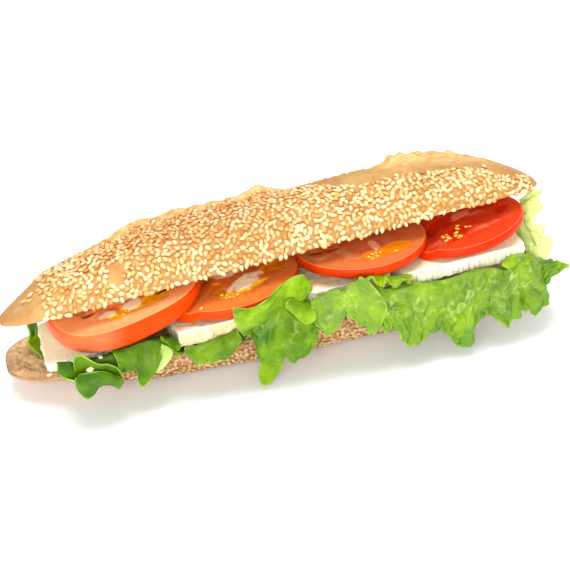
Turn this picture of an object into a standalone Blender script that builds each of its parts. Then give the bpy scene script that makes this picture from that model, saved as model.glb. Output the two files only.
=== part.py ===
"""Brie sandwich: a split sesame half-baguette filled with lettuce, brie and tomato.

The sandwich lies along X with its open, filled side towards -Y.  The origin is the
centre of the flat foot of the bottom bread.  Sizes are in millimetres and become
metres when a mesh is made.
"""

import math
import random

import bmesh
import bpy
import numpy as np
from mathutils import Matrix, Vector, noise
from mathutils.bvhtree import BVHTree

MM = 0.001

# Bread
LOAF_END = 135.0
LOAF_HALF_WIDTH = 30.0
CRUST_STEPS = 18
CRUMB_STEPS = 4
RING_COUNT = 33
RING_CROWDING = 0.12
CREST_CROWDING = 0.2
CRUST_NOISE_SCALE = 0.045
CRUMB_NOISE_SCALE = 0.11

# Bottom bread: its cut face is a plane, and its underside is flattened into a foot
BOTTOM_CUT_HEIGHT = 18.0
BOTTOM_CUT_SLOPE = 0.02
BOTTOM_DEPTH = 21.0
BOTTOM_TIP_DEPTH = 6.5
BOTTOM_TIP_RISE = 64.0
BOTTOM_CRUST_POWER = 2.4
BOTTOM_UNEVENNESS = 1.1
# In plan: half width at a tip, length and power of the rounded end, how much narrower
# the loaf gets to the left and to the right, and how far its left end bends back
BOTTOM_TIP_HALF_WIDTH = 3.0
BOTTOM_END_LENGTH = 26.0
BOTTOM_END_POWER = 2.2
BOTTOM_NARROW_LEFT = 6.5
BOTTOM_NARROW_RIGHT = 2.5
BOTTOM_BEND = 3.2

# Top bread: lifted at the front like an open lid, and rising to the right
TOP_CUT_HEIGHT = 49.5
TOP_CUT_RISE_X = 0.075
TOP_CUT_FALL_Y = 0.25
TOP_CREST = 23.5
TOP_TIP_CREST = 2.0
TOP_CREST_TAPER = 84.0
TOP_CREST_POWER = 1.42
TOP_TIP_HALF_WIDTH = 3.0
TOP_WIDTH_TAPER = 42.0
TOP_RIGHT_TAPER = 1.1
TOP_CRUST_POWER = 2.15
TOP_UNEVENNESS = 1.6
TIP_DROOP = 2.5
TIP_DROOP_START = 88.0

# Baked scores along the crest: centre along X, half length, height of the lifted ear.
# They slant behind the crest, and each ear has an open groove behind it.
SCORE_ANGLE = 1.70
SCORE_SLANT = 0.14
EAR_WIDTH = 3.2
GROOVE_OFFSET = 6.5
GROOVE_WIDTH = 4.0
GROOVE_SHARE = 0.45
SCORES = (
    (-66.0, 17.0, 3.2),
    (-44.0, 15.0, 3.2),
    (-24.0, 15.0, 3.2),
    (-3.0, 16.0, 3.6),
    (87.0, 38.0, 4.6),
)

# Sesame seed
SEED_LENGTH = 3.3
SEED_WIDTH = 2.0
SEED_THICKNESS = 1.1
SEED_TAPER = 0.28
SEED_STAND_OUT = 0.12
SEED_SPACING = 8.0
TOP_SEEDS = 84
BOTTOM_SEEDS = 28
# The crust near the cut edge, the scored top and the loaf's ends carry no seeds
SEED_EDGE_MARGIN = 2.2
SEED_CREST_LIMIT = 0.93
SEED_TOP_REACH = 120.0
SEED_BOTTOM_REACH = (-108.0, 118.0)
BARE_PATCH = (-78.0, -12.0, 7.7)

# Tomato slices: centre, half axes, corner power, turn in plan, slope along X,
# thickness at the middle and at the ends, bulge of the skin
TOMATOES = {
    "tomato_1": dict(centre=(-77.0, -9.5, 44.2), half=(33.5, 28.5), power=2.6, turn=0.19,
                     slope=0.16, thick=10.0, thin=6.8, bulge=2.0, segments=24),
    "tomato_2": dict(centre=(-27.0, -15.0, 43.4), half=(32.3, 27.6), power=1.85, turn=0.14,
                     slope=0.10, thick=4.8, thin=4.2, bulge=1.0, segments=20),
    "tomato_3": dict(centre=(37.0, -16.4, 51.2), half=(31.2, 30.0), power=1.9, turn=0.06,
                     slope=0.06, thick=4.6, thin=4.2, bulge=0.9, segments=20),
    "tomato_4": dict(centre=(88.0, -22.2, 53.6), half=(29.0, 25.0), power=2.1, turn=0.35,
                     slope=0.14, thick=4.3, thin=4.2, bulge=0.8, segments=20),
}

# Slices whose left end is pressed down by the slice that overlaps it
PRESSED_BY = {"tomato_2": "tomato_1", "tomato_4": "tomato_3"}
PRESS_START = 1.28
PRESS_FADE = 0.2
# Rings of a slice: share of the half width inwards, bulge outwards, share of the depth
SLICE_RINGS = (
    (-0.6, 0.0, 0.0),
    (-0.25, 0.0, 0.0),
    (-0.026, 0.0, 0.0),
    (0.007, 0.0, 0.14),
    (0.0, 0.8, 0.55),
    (0.0, 0.55, 0.88),
    (-0.05, 0.4, 1.0),
    (-0.3, 0.0, 1.0),
    (-0.6, 0.0, 1.0),
)

# Brie slices: four corners in plan (front left, front right, back right, back left),
# height of the top at each, thickness
BRIES = {
    "brie_1": dict(corners=((-116.0, -24.0), (-84.0, -29.0), (-80.0, 8.0), (-114.5, 10.0)),
                   tops=(22.8, 30.2, 29.6, 25.6), thickness=4.2),
    "brie_2": dict(corners=((-58.5, -38.0), (-29.5, -38.5), (-28.0, -8.0), (-60.0, -9.0)),
                   tops=(33.6, 35.4, 35.4, 30.6), thickness=8.4),
    "brie_3": dict(corners=((2.5, -38.0), (44.0, -39.5), (43.0, -9.0), (7.0, -9.0)),
                   tops=(40.4, 42.6, 43.6, 39.8), thickness=8.4),
    "brie_4": dict(corners=((47.0, -44.0), (109.5, -45.0), (112.5, -14.0), (48.0, -12.0)),
                   tops=(43.4, 46.8, 47.4, 40.8), thickness=7.4),
}

BRIE_STEPS = (0.0, 0.05, 0.35, 0.65, 0.95, 1.0)
BRIE_EDGE_ROUND = 0.7

# Distance kept between a slice and what presses it
GAP = 0.6

# Lettuce.  Each station of a leaf gives, at one place along it, where the leaf turns over
# (its shoulder) and where its free edge is.  The root lies between bread and brie.
LEAF_THICKNESS = 1.1
LEAF_ROWS = (0.0, 0.3, 0.48, 0.62, 0.75, 0.88, 1.0)
PLEAT_LENGTH = 21.0
ROOT_LIFT = 1.4
TUCK = (0.72, 0.5)
LEAVES = {
    "lettuce_left": dict(
        root_y=-14.0, tuck=(0.72, 0.3), pleat=1.0, ruffle=1.3, waves=7.0, columns=22, bulge=1.5,
        stations=(
            ((-109.0, -32.0, 26.0), (-112.5, -35.5, 23.5)),
            ((-105.0, -37.5, 29.5), (-107.0, -40.5, 21.0)),
            ((-101.0, -40.5, 31.5), (-102.5, -43.0, 13.0)),
            ((-95.0, -41.0, 31.0), (-95.0, -44.0, 16.5)),
            ((-88.0, -40.0, 29.5), (-87.5, -43.0, 14.5)),
            ((-82.0, -35.0, 25.0), (-83.0, -37.0, 21.5)),
            ((-77.0, -35.5, 26.0), (-77.5, -39.0, 9.5)),
            ((-70.0, -36.0, 27.0), (-70.0, -40.0, 17.0)),
            ((-63.5, -34.5, 25.0), (-62.5, -38.0, 23.5)),
            ((-59.5, -33.5, 23.5), (-59.0, -36.5, 22.5)),
        ),
    ),
    "lettuce_end": dict(
        root=((-108.0, -7.0, 17.4), (-109.0, 2.0, 17.4), (-109.0, 12.0, 17.4)),
        pleat=0.0, ruffle=0.8, waves=2.0, columns=8, bulge=0.0,
        stations=(
            ((-118.5, -13.0, 18.0), (-119.0, -18.0, 25.0)),
            ((-119.5, -2.0, 18.0), (-122.0, -6.0, 26.5)),
            ((-118.5, 10.0, 18.5), (-120.5, 12.0, 27.0)),
        ),
    ),
    "lettuce_tongue": dict(
        root_y=-14.0, tuck=(0.76, 0.3), pleat=0.6, ruffle=0.7, waves=2.5, columns=10, bulge=2.0,
        stations=(
            ((-56.0, -38.5, 24.0), (-58.0, -42.0, 28.0)),
            ((-51.0, -39.5, 23.5), (-51.5, -43.0, 19.5)),
            ((-44.0, -40.0, 24.0), (-42.0, -44.0, 17.0)),
            ((-36.0, -41.0, 26.5), (-32.5, -44.0, 23.5)),
        ),
    ),
    "lettuce_middle": dict(
        root_y=-16.0, tuck=(0.72, 0.3), pleat=1.0, ruffle=1.2, waves=4.5, columns=18, bulge=1.5,
        stations=(
            ((-29.0, -41.0, 27.5), (-28.5, -44.5, 19.0)),
            ((-24.5, -43.5, 29.5), (-24.0, -45.0, 8.0)),
            ((-18.5, -45.0, 31.5), (-18.5, -45.5, 2.2)),
            ((-12.5, -46.0, 33.0), (-12.0, -46.0, 13.0)),
            ((-6.0, -46.0, 33.5), (-6.0, -46.5, 12.5)),
            ((0.0, -44.5, 34.5), (1.0, -46.5, 16.0)),
            ((4.0, -42.0, 35.5), (5.5, -44.5, 27.0)),
        ),
    ),
    "lettuce_fold": dict(
        root=((-21.0, -22.0, 25.5), (-17.0, -22.0, 26.0), (-13.0, -22.0, 27.0),
              (-9.0, -22.0, 28.0), (-5.0, -22.0, 28.0), (-2.0, -23.0, 28.0)),
        pleat=0.0, ruffle=0.7, waves=3.0, columns=13, bulge=0.0,
        stations=(
            ((-32.0, -47.0, 31.5), (-34.5, -47.5, 44.5)),
            ((-25.0, -48.5, 36.0), (-25.0, -48.5, 47.5)),
            ((-17.0, -48.5, 40.0), (-16.5, -46.0, 50.5)),
            ((-9.0, -47.0, 43.0), (-8.5, -41.5, 52.0)),
            ((-2.5, -44.5, 42.5), (0.5, -38.0, 50.5)),
            ((1.5, -42.0, 40.5), (5.0, -39.0, 45.0)),
        ),
    ),
    "lettuce_right": dict(
        root_y=-16.0, tuck=(0.74, 0.34), pleat=2.2, ruffle=2.0, waves=9.0, columns=40, bulge=2.5,
        stations=(
            ((8.0, -44.5, 38.5), (7.0, -47.5, 23.0)),
            ((14.0, -45.5, 42.0), (13.0, -48.5, 25.5)),
            ((20.5, -47.0, 44.0), (20.0, -49.5, 27.0)),
            ((26.0, -48.5, 46.5), (28.5, -50.5, 19.0)),
            ((33.0, -49.3, 46.0), (35.0, -50.0, 21.0)),
            ((42.0, -49.0, 44.5), (41.0, -50.5, 18.0)),
            ((50.0, -48.5, 41.5), (47.5, -51.0, 8.0)),
            ((58.0, -47.7, 37.0), (56.0, -51.5, 13.5)),
            ((66.0, -47.5, 35.0), (64.0, -52.5, 12.0)),
            ((74.0, -48.0, 35.0), (73.0, -53.0, 3.0)),
            ((82.0, -48.5, 35.5), (81.0, -53.5, 15.0)),
            ((90.0, -49.0, 36.5), (90.0, -54.0, 17.5)),
            ((98.0, -49.0, 37.5), (96.5, -54.0, 9.0)),
            ((106.0, -48.5, 38.0), (103.0, -54.0, 18.0)),
            ((113.0, -47.5, 38.0), (112.0, -54.0, 12.5)),
            ((119.0, -44.0, 37.0), (118.0, -51.0, 14.0)),
            ((122.5, -38.0, 36.0), (123.5, -48.0, 28.0)),
            ((123.5, -31.0, 36.0), (130.5, -46.0, 34.0)),
        ),
    ),
    "lettuce_tip": dict(
        root=((108.0, -14.0, 24.0), (109.0, -10.0, 24.0), (109.0, -6.0, 24.0), (109.0, -2.0, 24.0),
              (109.0, 3.0, 23.5), (108.0, 8.0, 23.0), (105.0, 13.0, 22.0)),
        pleat=0.0, ruffle=1.6, waves=4.0, columns=16, bulge=0.0,
        stations=(
            ((121.0, -26.0, 33.0), (129.5, -36.0, 35.5)),
            ((121.5, -22.0, 35.0), (130.0, -27.0, 42.5)),
            ((121.0, -18.0, 39.0), (129.5, -22.0, 49.0)),
            ((120.0, -14.0, 42.0), (125.5, -21.0, 57.5)),
            ((119.0, -4.0, 39.0), (124.0, -9.0, 49.0)),
            ((121.0, 5.0, 34.0), (128.0, 4.0, 42.0)),
            ((118.0, 14.0, 27.0), (125.0, 17.0, 33.0)),
        ),
    ),
    "lettuce_back": dict(
        root_y=-4.0, pleat=2.2, ruffle=1.7, waves=8.0, columns=30, bulge=-1.5,
        stations=(
            ((-104.0, 23.0, 23.5), (-106.0, 29.0, 24.0)),
            ((-88.0, 27.0, 25.0), (-88.0, 33.0, 22.0)),
            ((-70.0, 29.0, 27.0), (-71.0, 36.0, 21.0)),
            ((-52.0, 30.0, 28.0), (-51.0, 36.5, 25.0)),
            ((-34.0, 31.0, 29.0), (-34.0, 38.0, 20.0)),
            ((-15.0, 31.0, 31.0), (-14.0, 38.0, 26.0)),
            ((5.0, 32.0, 32.0), (5.0, 39.0, 22.0)),
            ((25.0, 32.0, 32.0), (25.0, 38.0, 27.0)),
            ((44.0, 32.0, 33.0), (44.0, 40.0, 22.0)),
            ((63.0, 31.0, 34.0), (64.0, 38.0, 28.0)),
            ((82.0, 30.0, 34.0), (83.0, 38.0, 23.0)),
            ((100.0, 27.0, 33.0), (103.0, 34.0, 30.0)),
        ),
    ),
}


def clear_scene():
    """Start from an empty file."""
    for thing in list(bpy.data.objects):
        bpy.data.objects.remove(thing, do_unlink=True)


def smoothstep(value):
    """Ease from 0 to 1 as the value goes from 0 to 1."""
    value = min(max(value, 0.0), 1.0)
    return value * value * (3.0 - 2.0 * value)


def soft_min(first, second, blend=0.8):
    """The smaller of two heights, rounded where they cross."""
    low = min(first, second)
    high = max(first, second)
    return low - blend * math.log1p(math.exp((low - high) / blend))


def smooth_curve(points, places):
    """Points of a Catmull-Rom curve through the given ones, at places from 0 to 1."""
    points = np.asarray(points, float)
    last = len(points) - 1
    padded = np.concatenate([2 * points[:1] - points[1:2], points, 2 * points[-1:] - points[-2:-1]])
    found = []
    for place in places:
        spot = min(max(place, 0.0), 1.0) * last
        index = min(int(spot), last - 1)
        t = spot - index
        a, b, c, d = padded[index : index + 4]
        found.append(
            b + 0.5 * t * (c - a + t * (2 * a - 5 * b + 4 * c - d + t * (3 * (b - c) + d - a)))
        )
    return np.array(found)


def material(name, colour, roughness):
    """A plain Principled material."""
    made = bpy.data.materials.new(name)
    made.use_nodes = True
    shader = made.node_tree.nodes["Principled BSDF"]
    shader.inputs["Base Color"].default_value = (*colour, 1.0)
    shader.inputs["Roughness"].default_value = roughness
    shader.inputs["Metallic"].default_value = 0.0
    return made


def make_object(name, points, faces, finish):
    """One closed mesh object from points in millimetres."""
    mesh = bpy.data.meshes.new(name)
    mesh.from_pydata([tuple(MM * value for value in point) for point in points], [], faces)
    built = bmesh.new()
    built.from_mesh(mesh)
    bmesh.ops.triangulate(built, faces=[face for face in built.faces if len(face.verts) > 3])
    bmesh.ops.recalc_face_normals(built, faces=built.faces)
    built.to_mesh(mesh)
    built.free()
    mesh.shade_smooth()
    mesh.set_sharp_from_angle(angle=math.radians(50))
    mesh.materials.append(finish)
    made = bpy.data.objects.new(name, mesh)
    bpy.context.scene.collection.objects.link(made)
    return made


def closed_loft(rings):
    """Points and faces of a solid lofted through closed rings, with a fan at each end."""
    points = [tuple(point) for ring in rings for point in ring]
    faces = []
    size = len(rings[0])
    for row in range(len(rings) - 1):
        for column in range(size):
            after = (column + 1) % size
            here = row * size
            there = here + size
            faces.append((here + column, here + after, there + after, there + column))
    for row in (0, len(rings) - 1):
        points.append(tuple(np.mean(rings[row], axis=0)))
        for column in range(size):
            after = (column + 1) % size
            faces.append((row * size + column, row * size + after, len(points) - 1))
    return points, faces


def end_round(distance, radius, power):
    """0 at a tip, 1 from the given distance on, along a rounded curve."""
    reach = max(0.0, 1.0 - distance / radius)
    return (1.0 - reach**power) ** (1.0 / power)


def tip_distance(x):
    """Distance from the nearer end of the loaf."""
    return LOAF_END - abs(x)


def bottom_cut(x):
    """Height of the bottom bread's cut face."""
    return BOTTOM_CUT_HEIGHT + BOTTOM_CUT_SLOPE * x


def bottom_outline(x):
    """Centre and half width of the bottom bread in plan."""
    narrow = BOTTOM_NARROW_LEFT * smoothstep((10.0 - x) / 120.0)
    narrow += BOTTOM_NARROW_RIGHT * smoothstep((x - 20.0) / 100.0)
    centre = BOTTOM_BEND * smoothstep((-40.0 - x) / 80.0)
    spread = LOAF_HALF_WIDTH - BOTTOM_TIP_HALF_WIDTH - narrow
    spread *= end_round(tip_distance(x), BOTTOM_END_LENGTH, BOTTOM_END_POWER)
    return centre, BOTTOM_TIP_HALF_WIDTH + spread


def top_tip(x):
    """Distance from the nearer end of the top bread, as if both ends tapered alike."""
    return tip_distance(x) * (TOP_RIGHT_TAPER if x > 0.0 else 1.0)


def top_half_width(x):
    """Half width of the top bread."""
    spread = LOAF_HALF_WIDTH - TOP_TIP_HALF_WIDTH
    return TOP_TIP_HALF_WIDTH + spread * end_round(top_tip(x), TOP_WIDTH_TAPER, 2.0)


def top_crest(x):
    """Height of the top bread's crest over its cut face."""
    rise = TOP_CREST - TOP_TIP_CREST
    return TOP_TIP_CREST + rise * end_round(top_tip(x), TOP_CREST_TAPER, TOP_CREST_POWER)


def tip_droop(x):
    """How far an end of the top bread hangs below the plane of its cut face."""
    past = max(0.0, abs(x) - TIP_DROOP_START)
    return TIP_DROOP * (past / (LOAF_END - TIP_DROOP_START)) ** 2


def top_cut(x, y):
    """Height of the top bread's cut face over a place in plan."""
    return TOP_CUT_HEIGHT + TOP_CUT_RISE_X * x - TOP_CUT_FALL_Y * y - tip_droop(x)


def score_relief(x, angle, crest):
    """Lifted ear and open groove of the slanting scores near the crest."""
    relief = 0.0
    for centre, half_length, lift in SCORES:
        along = (x - centre) / half_length
        if abs(along) >= 1.0:
            continue
        fade = (1.0 - along * along) ** 1.5
        across = (angle - SCORE_ANGLE - SCORE_SLANT * along) * crest
        ear = math.exp(-((across / EAR_WIDTH) ** 2))
        groove = GROOVE_SHARE * math.exp(-(((across - GROOVE_OFFSET) / GROOVE_WIDTH) ** 2))
        relief += fade * lift * (ear - groove)
    return relief


def crust_noise(x, y, z, depth):
    """Slow unevenness of a baked crust."""
    return depth * noise.noise(Vector((x, y, z)) * CRUST_NOISE_SCALE)


def crust_angles():
    """Angles round a section's crust, closer together at the crest."""
    turns = [step / CRUST_STEPS for step in range(CRUST_STEPS + 1)]
    return [
        math.pi * turn + CREST_CROWDING * math.sin(2.0 * math.pi * turn) for turn in turns
    ]


def arc_point(angle, half_width, height, power):
    """Point of a section's crust, from the front edge (0) over the crest to the back (pi)."""
    c = math.cos(angle)
    s = max(math.sin(angle), 0.0)
    return (
        -math.copysign(abs(c) ** (2.0 / power), c) * half_width,
        s ** (2.0 / power) * height,
    )


def ring_places():
    """Places along X of the sections, closer together towards the tips."""
    places = []
    for step in range(RING_COUNT):
        t = -1.0 + 2.0 * step / (RING_COUNT - 1)
        places.append(LOAF_END * (t + RING_CROWDING * math.sin(math.pi * t)))
    return places


def bottom_section(x):
    """Section of the bottom bread: crust below, cut face above."""
    centre, half_width = bottom_outline(x)
    cut = bottom_cut(x)
    full = BOTTOM_DEPTH + BOTTOM_CUT_SLOPE * x
    share = smoothstep((tip_distance(x) - 6.0) / BOTTOM_TIP_RISE)
    depth = BOTTOM_TIP_DEPTH + (full - BOTTOM_TIP_DEPTH) * share
    ring = []
    for angle in crust_angles():
        y, down = arc_point(angle, half_width, depth, BOTTOM_CRUST_POWER)
        bump = crust_noise(x, y, down + 60.0, BOTTOM_UNEVENNESS) * math.sin(angle)
        y -= bump * math.cos(angle)
        z = cut - down - bump * math.sin(angle)
        ring.append((x, centre + y, max(z, 0.0)))
    for step in range(1, CRUMB_STEPS):
        y = half_width * (1.0 - 2.0 * step / CRUMB_STEPS)
        crumb = 0.4 * noise.noise(Vector((x, y, 9.0)) * CRUMB_NOISE_SCALE) - 0.3
        ring.append((x, centre + y, cut + crumb))
    return ring


def top_section(x):
    """Section of the top bread: cut face below, crust with scores above."""
    half_width = top_half_width(x)
    crest = top_crest(x)
    lean = math.atan(TOP_CUT_FALL_Y)
    rise = math.atan(TOP_CUT_RISE_X)
    place = (
        Matrix.Translation((0.0, 0.0, TOP_CUT_HEIGHT))
        @ Matrix.Rotation(-rise, 4, "Y")
        @ Matrix.Rotation(-lean, 4, "X")
    )
    flat = []
    for angle in crust_angles():
        y, up = arc_point(angle, half_width, crest, TOP_CRUST_POWER)
        bump = score_relief(x, angle, crest) * crest / TOP_CREST
        bump += crust_noise(x, y, up, TOP_UNEVENNESS) * math.sin(angle)
        flat.append((x, y - bump * math.cos(angle), up + bump * math.sin(angle)))
    for step in range(1, CRUMB_STEPS):
        y = half_width * (1.0 - 2.0 * step / CRUMB_STEPS)
        flat.append((x, y, 0.4 + 0.5 * noise.noise(Vector((x, y, 4.0)) * CRUMB_NOISE_SCALE)))
    ring = []
    for along, y, z in flat:
        spot = place @ Vector((along, y, z))
        ring.append((spot.x, spot.y, spot.z - tip_droop(x)))
    return ring


def seed_mesh():
    """A low sesame seed: a drop, pointed at one end, lying flat."""
    built = bmesh.new()
    bmesh.ops.create_icosphere(built, subdivisions=1, radius=1.0)
    for vert in built.verts:
        taper = 1.0 - SEED_TAPER * vert.co.x
        vert.co = Vector(
            (
                vert.co.x * SEED_LENGTH / 2,
                vert.co.y * taper * SEED_WIDTH / 2,
                vert.co.z * taper * SEED_THICKNESS / 2,
            )
        ) * MM
    mesh = bpy.data.meshes.new("seed")
    built.to_mesh(mesh)
    built.free()
    return mesh


def fuse_seeds(bread, count, aim_height, wanted, seed_value):
    """Scatter seeds over the crust where they are wanted and join them to the bread."""
    draw = random.Random(seed_value)
    built = bmesh.new()
    built.from_mesh(bread.data)
    tree = BVHTree.FromBMesh(built)
    built.free()
    shape = seed_mesh()
    group = bpy.data.collections.new(bread.name + "_seeds")
    bpy.context.scene.collection.children.link(group)
    placed = []
    tries = 0
    while len(placed) < count and tries < count * 200:
        tries += 1
        x = draw.uniform(-LOAF_END, LOAF_END)
        around = draw.uniform(0.0, 2.0 * math.pi)
        turn = draw.uniform(0.0, 2.0 * math.pi)
        start = Vector((x, 70.0 * math.cos(around), 45.0 + 70.0 * math.sin(around))) * MM
        aim = Vector((x, 0.0, aim_height)) * MM - start
        spot, normal, _, _ = tree.ray_cast(start, aim.normalized())
        if spot is None or not wanted(spot / MM, normal):
            continue
        if any((spot - other).length < SEED_SPACING * MM for other in placed):
            continue
        placed.append(spot)
        seed = bpy.data.objects.new("seed", shape.copy())
        upright = normal.to_track_quat("Z", "X").to_matrix().to_4x4()
        centre = Matrix.Translation(spot + normal * SEED_STAND_OUT * MM)
        seed.data.transform(centre @ upright @ Matrix.Rotation(turn, 4, "Z"))
        group.objects.link(seed)
    union = bread.modifiers.new("seeds", "BOOLEAN")
    union.operation = "UNION"
    union.operand_type = "COLLECTION"
    union.collection = group
    union.solver = "EXACT"
    bpy.context.view_layer.objects.active = bread
    bpy.ops.object.modifier_apply(modifier=union.name)
    for seed in list(group.objects):
        bpy.data.objects.remove(seed, do_unlink=True)
    bpy.data.collections.remove(group)
    bpy.data.meshes.remove(shape)


def on_top_crust(spot, normal):
    """Seeded part of the top crust: both sides, not the scored crest nor the left tip."""
    lean = Vector((-TOP_CUT_RISE_X, TOP_CUT_FALL_Y, 1.0)).normalized()
    over_cut = (spot - Vector((0.0, 0.0, TOP_CUT_HEIGHT))).dot(lean) + tip_droop(spot.x)
    side = normal.dot(lean)
    bare_x, bare_y, bare_radius = BARE_PATCH
    bare = math.hypot(spot.x - bare_x, spot.y - bare_y) < bare_radius
    on_side = over_cut > SEED_EDGE_MARGIN and side < SEED_CREST_LIMIT
    return on_side and abs(spot.x) < SEED_TOP_REACH and not bare


def on_bottom_crust(spot, normal):
    """Seeded part of the bottom crust: the side band, without the bare left end."""
    left, right = SEED_BOTTOM_REACH
    in_band = 3.0 < spot.z < bottom_cut(spot.x) - SEED_EDGE_MARGIN
    return in_band and left < spot.x < right and abs(normal.x) < 0.6


def make_breads():
    """Both halves of the loaf with their seeds."""
    crust = material("sesame_crust", (0.62, 0.36, 0.15), 0.7)
    bottom = make_object(
        "bottom_bread", *closed_loft([bottom_section(x) for x in ring_places()]), crust
    )
    fuse_seeds(bottom, BOTTOM_SEEDS, 10.0, on_bottom_crust, 11)
    top = make_object(
        "top_bread", *closed_loft([top_section(x) for x in ring_places()]), crust.copy()
    )
    fuse_seeds(top, TOP_SEEDS, 58.0, on_top_crust, 12)


def rim_share(slice_, x, y):
    """How far out a place lies in a slice: 0 at its centre, 1 on its rim."""
    centre_x, centre_y, _ = slice_["centre"]
    turn = slice_["turn"]
    along = (x - centre_x) * math.cos(turn) + (y - centre_y) * math.sin(turn)
    across = (y - centre_y) * math.cos(turn) - (x - centre_x) * math.sin(turn)
    long_half, short_half = slice_["half"]
    power = slice_["power"]
    return (abs(along / long_half) ** power + abs(across / short_half) ** power) ** (1.0 / power)


def tomato_face(name, x, y):
    """Height of a slice's upper face: its own plane, pressed by what lies on it."""
    slice_ = TOMATOES[name]
    centre_x, _, centre_z = slice_["centre"]
    height = centre_z + slice_["slope"] * (x - centre_x)
    if name in PRESSED_BY:
        over = PRESSED_BY[name]
        underside = tomato_face(over, x, y) - tomato_depth(over, x)
        covered = smoothstep((PRESS_START - rim_share(TOMATOES[over], x, y)) / PRESS_FADE)
        height += covered * (soft_min(height, underside - GAP) - height)
    return soft_min(height, top_cut(x, y) - GAP)


def tomato_depth(name, x):
    """Thickness of a slice, thinner towards its ends."""
    slice_ = TOMATOES[name]
    away = min(abs(x - slice_["centre"][0]) / slice_["half"][0], 1.0)
    return slice_["thick"] + (slice_["thin"] - slice_["thick"]) * away**2


def oval_point(slice_, angle, out):
    """Place in plan on a slice's rim, moved outwards by a distance."""
    power = 2.0 / slice_["power"]
    c = math.cos(angle)
    s = math.sin(angle)
    x = math.copysign(abs(c) ** power, c) * (slice_["half"][0] + out)
    y = math.copysign(abs(s) ** power, s) * (slice_["half"][1] + out)
    turn = slice_["turn"]
    centre_x, centre_y, _ = slice_["centre"]
    return (
        centre_x + x * math.cos(turn) - y * math.sin(turn),
        centre_y + x * math.sin(turn) + y * math.cos(turn),
    )


def tomato_rings(name):
    """Rings of a slice from the middle of the face over the skin to the underside."""
    slice_ = TOMATOES[name]
    rings = []
    for inward, outward, depth in SLICE_RINGS:
        out = inward * min(slice_["half"]) + outward * slice_["bulge"]
        ring = []
        for step in range(slice_["segments"]):
            x, y = oval_point(slice_, 2.0 * math.pi * step / slice_["segments"], out)
            ring.append((x, y, tomato_face(name, x, y) - depth * tomato_depth(name, x)))
        rings.append(ring)
    return rings


def make_tomatoes():
    """The four slices, the second and the fourth partly under their left neighbours."""
    for name in TOMATOES:
        flesh = material(name, (0.72, 0.10, 0.02), 0.3)
        make_object(name, *closed_loft(tomato_rings(name)), flesh)


def brie_point(slice_, s, t):
    """Place on a slice's upper face; s runs to the right and t to the back."""
    weights = ((1 - s) * (1 - t), s * (1 - t), s * t, (1 - s) * t)
    x = sum(weight * corner[0] for weight, corner in zip(weights, slice_["corners"]))
    y = sum(weight * corner[1] for weight, corner in zip(weights, slice_["corners"]))
    return x, y, sum(weight * top for weight, top in zip(weights, slice_["tops"]))


def make_bries():
    """Four slabs with softly rounded edges."""
    count = len(BRIE_STEPS)
    ends = (0, count - 1)
    border = [(i, 0) for i in range(count - 1)]
    border += [(count - 1, j) for j in range(count - 1)]
    border += [(i, count - 1) for i in range(count - 1, 0, -1)]
    border += [(0, j) for j in range(count - 1, 0, -1)]
    for name, slice_ in BRIES.items():
        paste = material(name, (0.86, 0.76, 0.52), 0.55)
        points = []
        index = {}
        for side in (0, 1):
            for i, s in enumerate(BRIE_STEPS):
                for j, t in enumerate(BRIE_STEPS):
                    x, y, z = brie_point(slice_, s, t)
                    sink = BRIE_EDGE_ROUND if i in ends or j in ends else 0.0
                    z += -sink if side == 0 else sink - slice_["thickness"]
                    index[side, i, j] = len(points)
                    points.append((x, y, z))
        faces = []
        for side in (0, 1):
            for i in range(count - 1):
                for j in range(count - 1):
                    cell = ((i, j), (i + 1, j), (i + 1, j + 1), (i, j + 1))
                    faces.append(tuple(index[side, k, m] for k, m in cell))
        for place, (i, j) in enumerate(border):
            k, m = border[(place + 1) % len(border)]
            faces.append((index[0, i, j], index[0, k, m], index[1, k, m], index[1, i, j]))
        make_object(name, points, faces, paste)


def leaf_root(leaf):
    """Root line of a leaf, one point for each station."""
    if "root" in leaf:
        return leaf["root"]
    return tuple(
        (shoulder[0], leaf["root_y"], bottom_cut(shoulder[0]) + ROOT_LIFT)
        for shoulder, _ in leaf["stations"]
    )


def leaf_sheet(leaf, columns, rows):
    """Middle surface of a leaf as a grid of points, rows from root to free edge."""
    along = np.linspace(0.0, 1.0, columns)
    shoulder = smooth_curve([station[0] for station in leaf["stations"]], along)
    edge = smooth_curve([station[1] for station in leaf["stations"]], along)
    root = smooth_curve(leaf_root(leaf), along)
    forward, upward = leaf.get("tuck", TUCK)
    under = root + (shoulder - root) * (forward, forward, upward)
    face = 0.5 * (shoulder + edge)
    face[:, 1] -= leaf["bulge"]
    lines = np.stack([root, under, shoulder, face, edge], axis=1)
    grid = np.stack([smooth_curve(line, rows) for line in lines], axis=1)
    reach = np.asarray(rows)[:, None]
    pleat = leaf["pleat"] * np.sin(2.0 * math.pi * grid[:, :, 0] / PLEAT_LENGTH)
    grid[:, :, 2] += pleat * np.sin(math.pi * np.minimum(reach * 2.2, 1.0))
    wave = np.sin(2.0 * math.pi * leaf["waves"] * along + 0.9)
    size = leaf["ruffle"] * np.clip((reach - 0.5) / 0.5, 0.0, 1.0) ** 1.4
    return grid + (size * wave)[:, :, None] * sheet_normals(grid)


def sheet_normals(grid):
    """Unit normals of a grid of points."""
    along = np.gradient(grid, axis=1)
    down = np.gradient(grid, axis=0)
    normal = np.cross(along, down)
    return normal / np.linalg.norm(normal, axis=2, keepdims=True)


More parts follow.
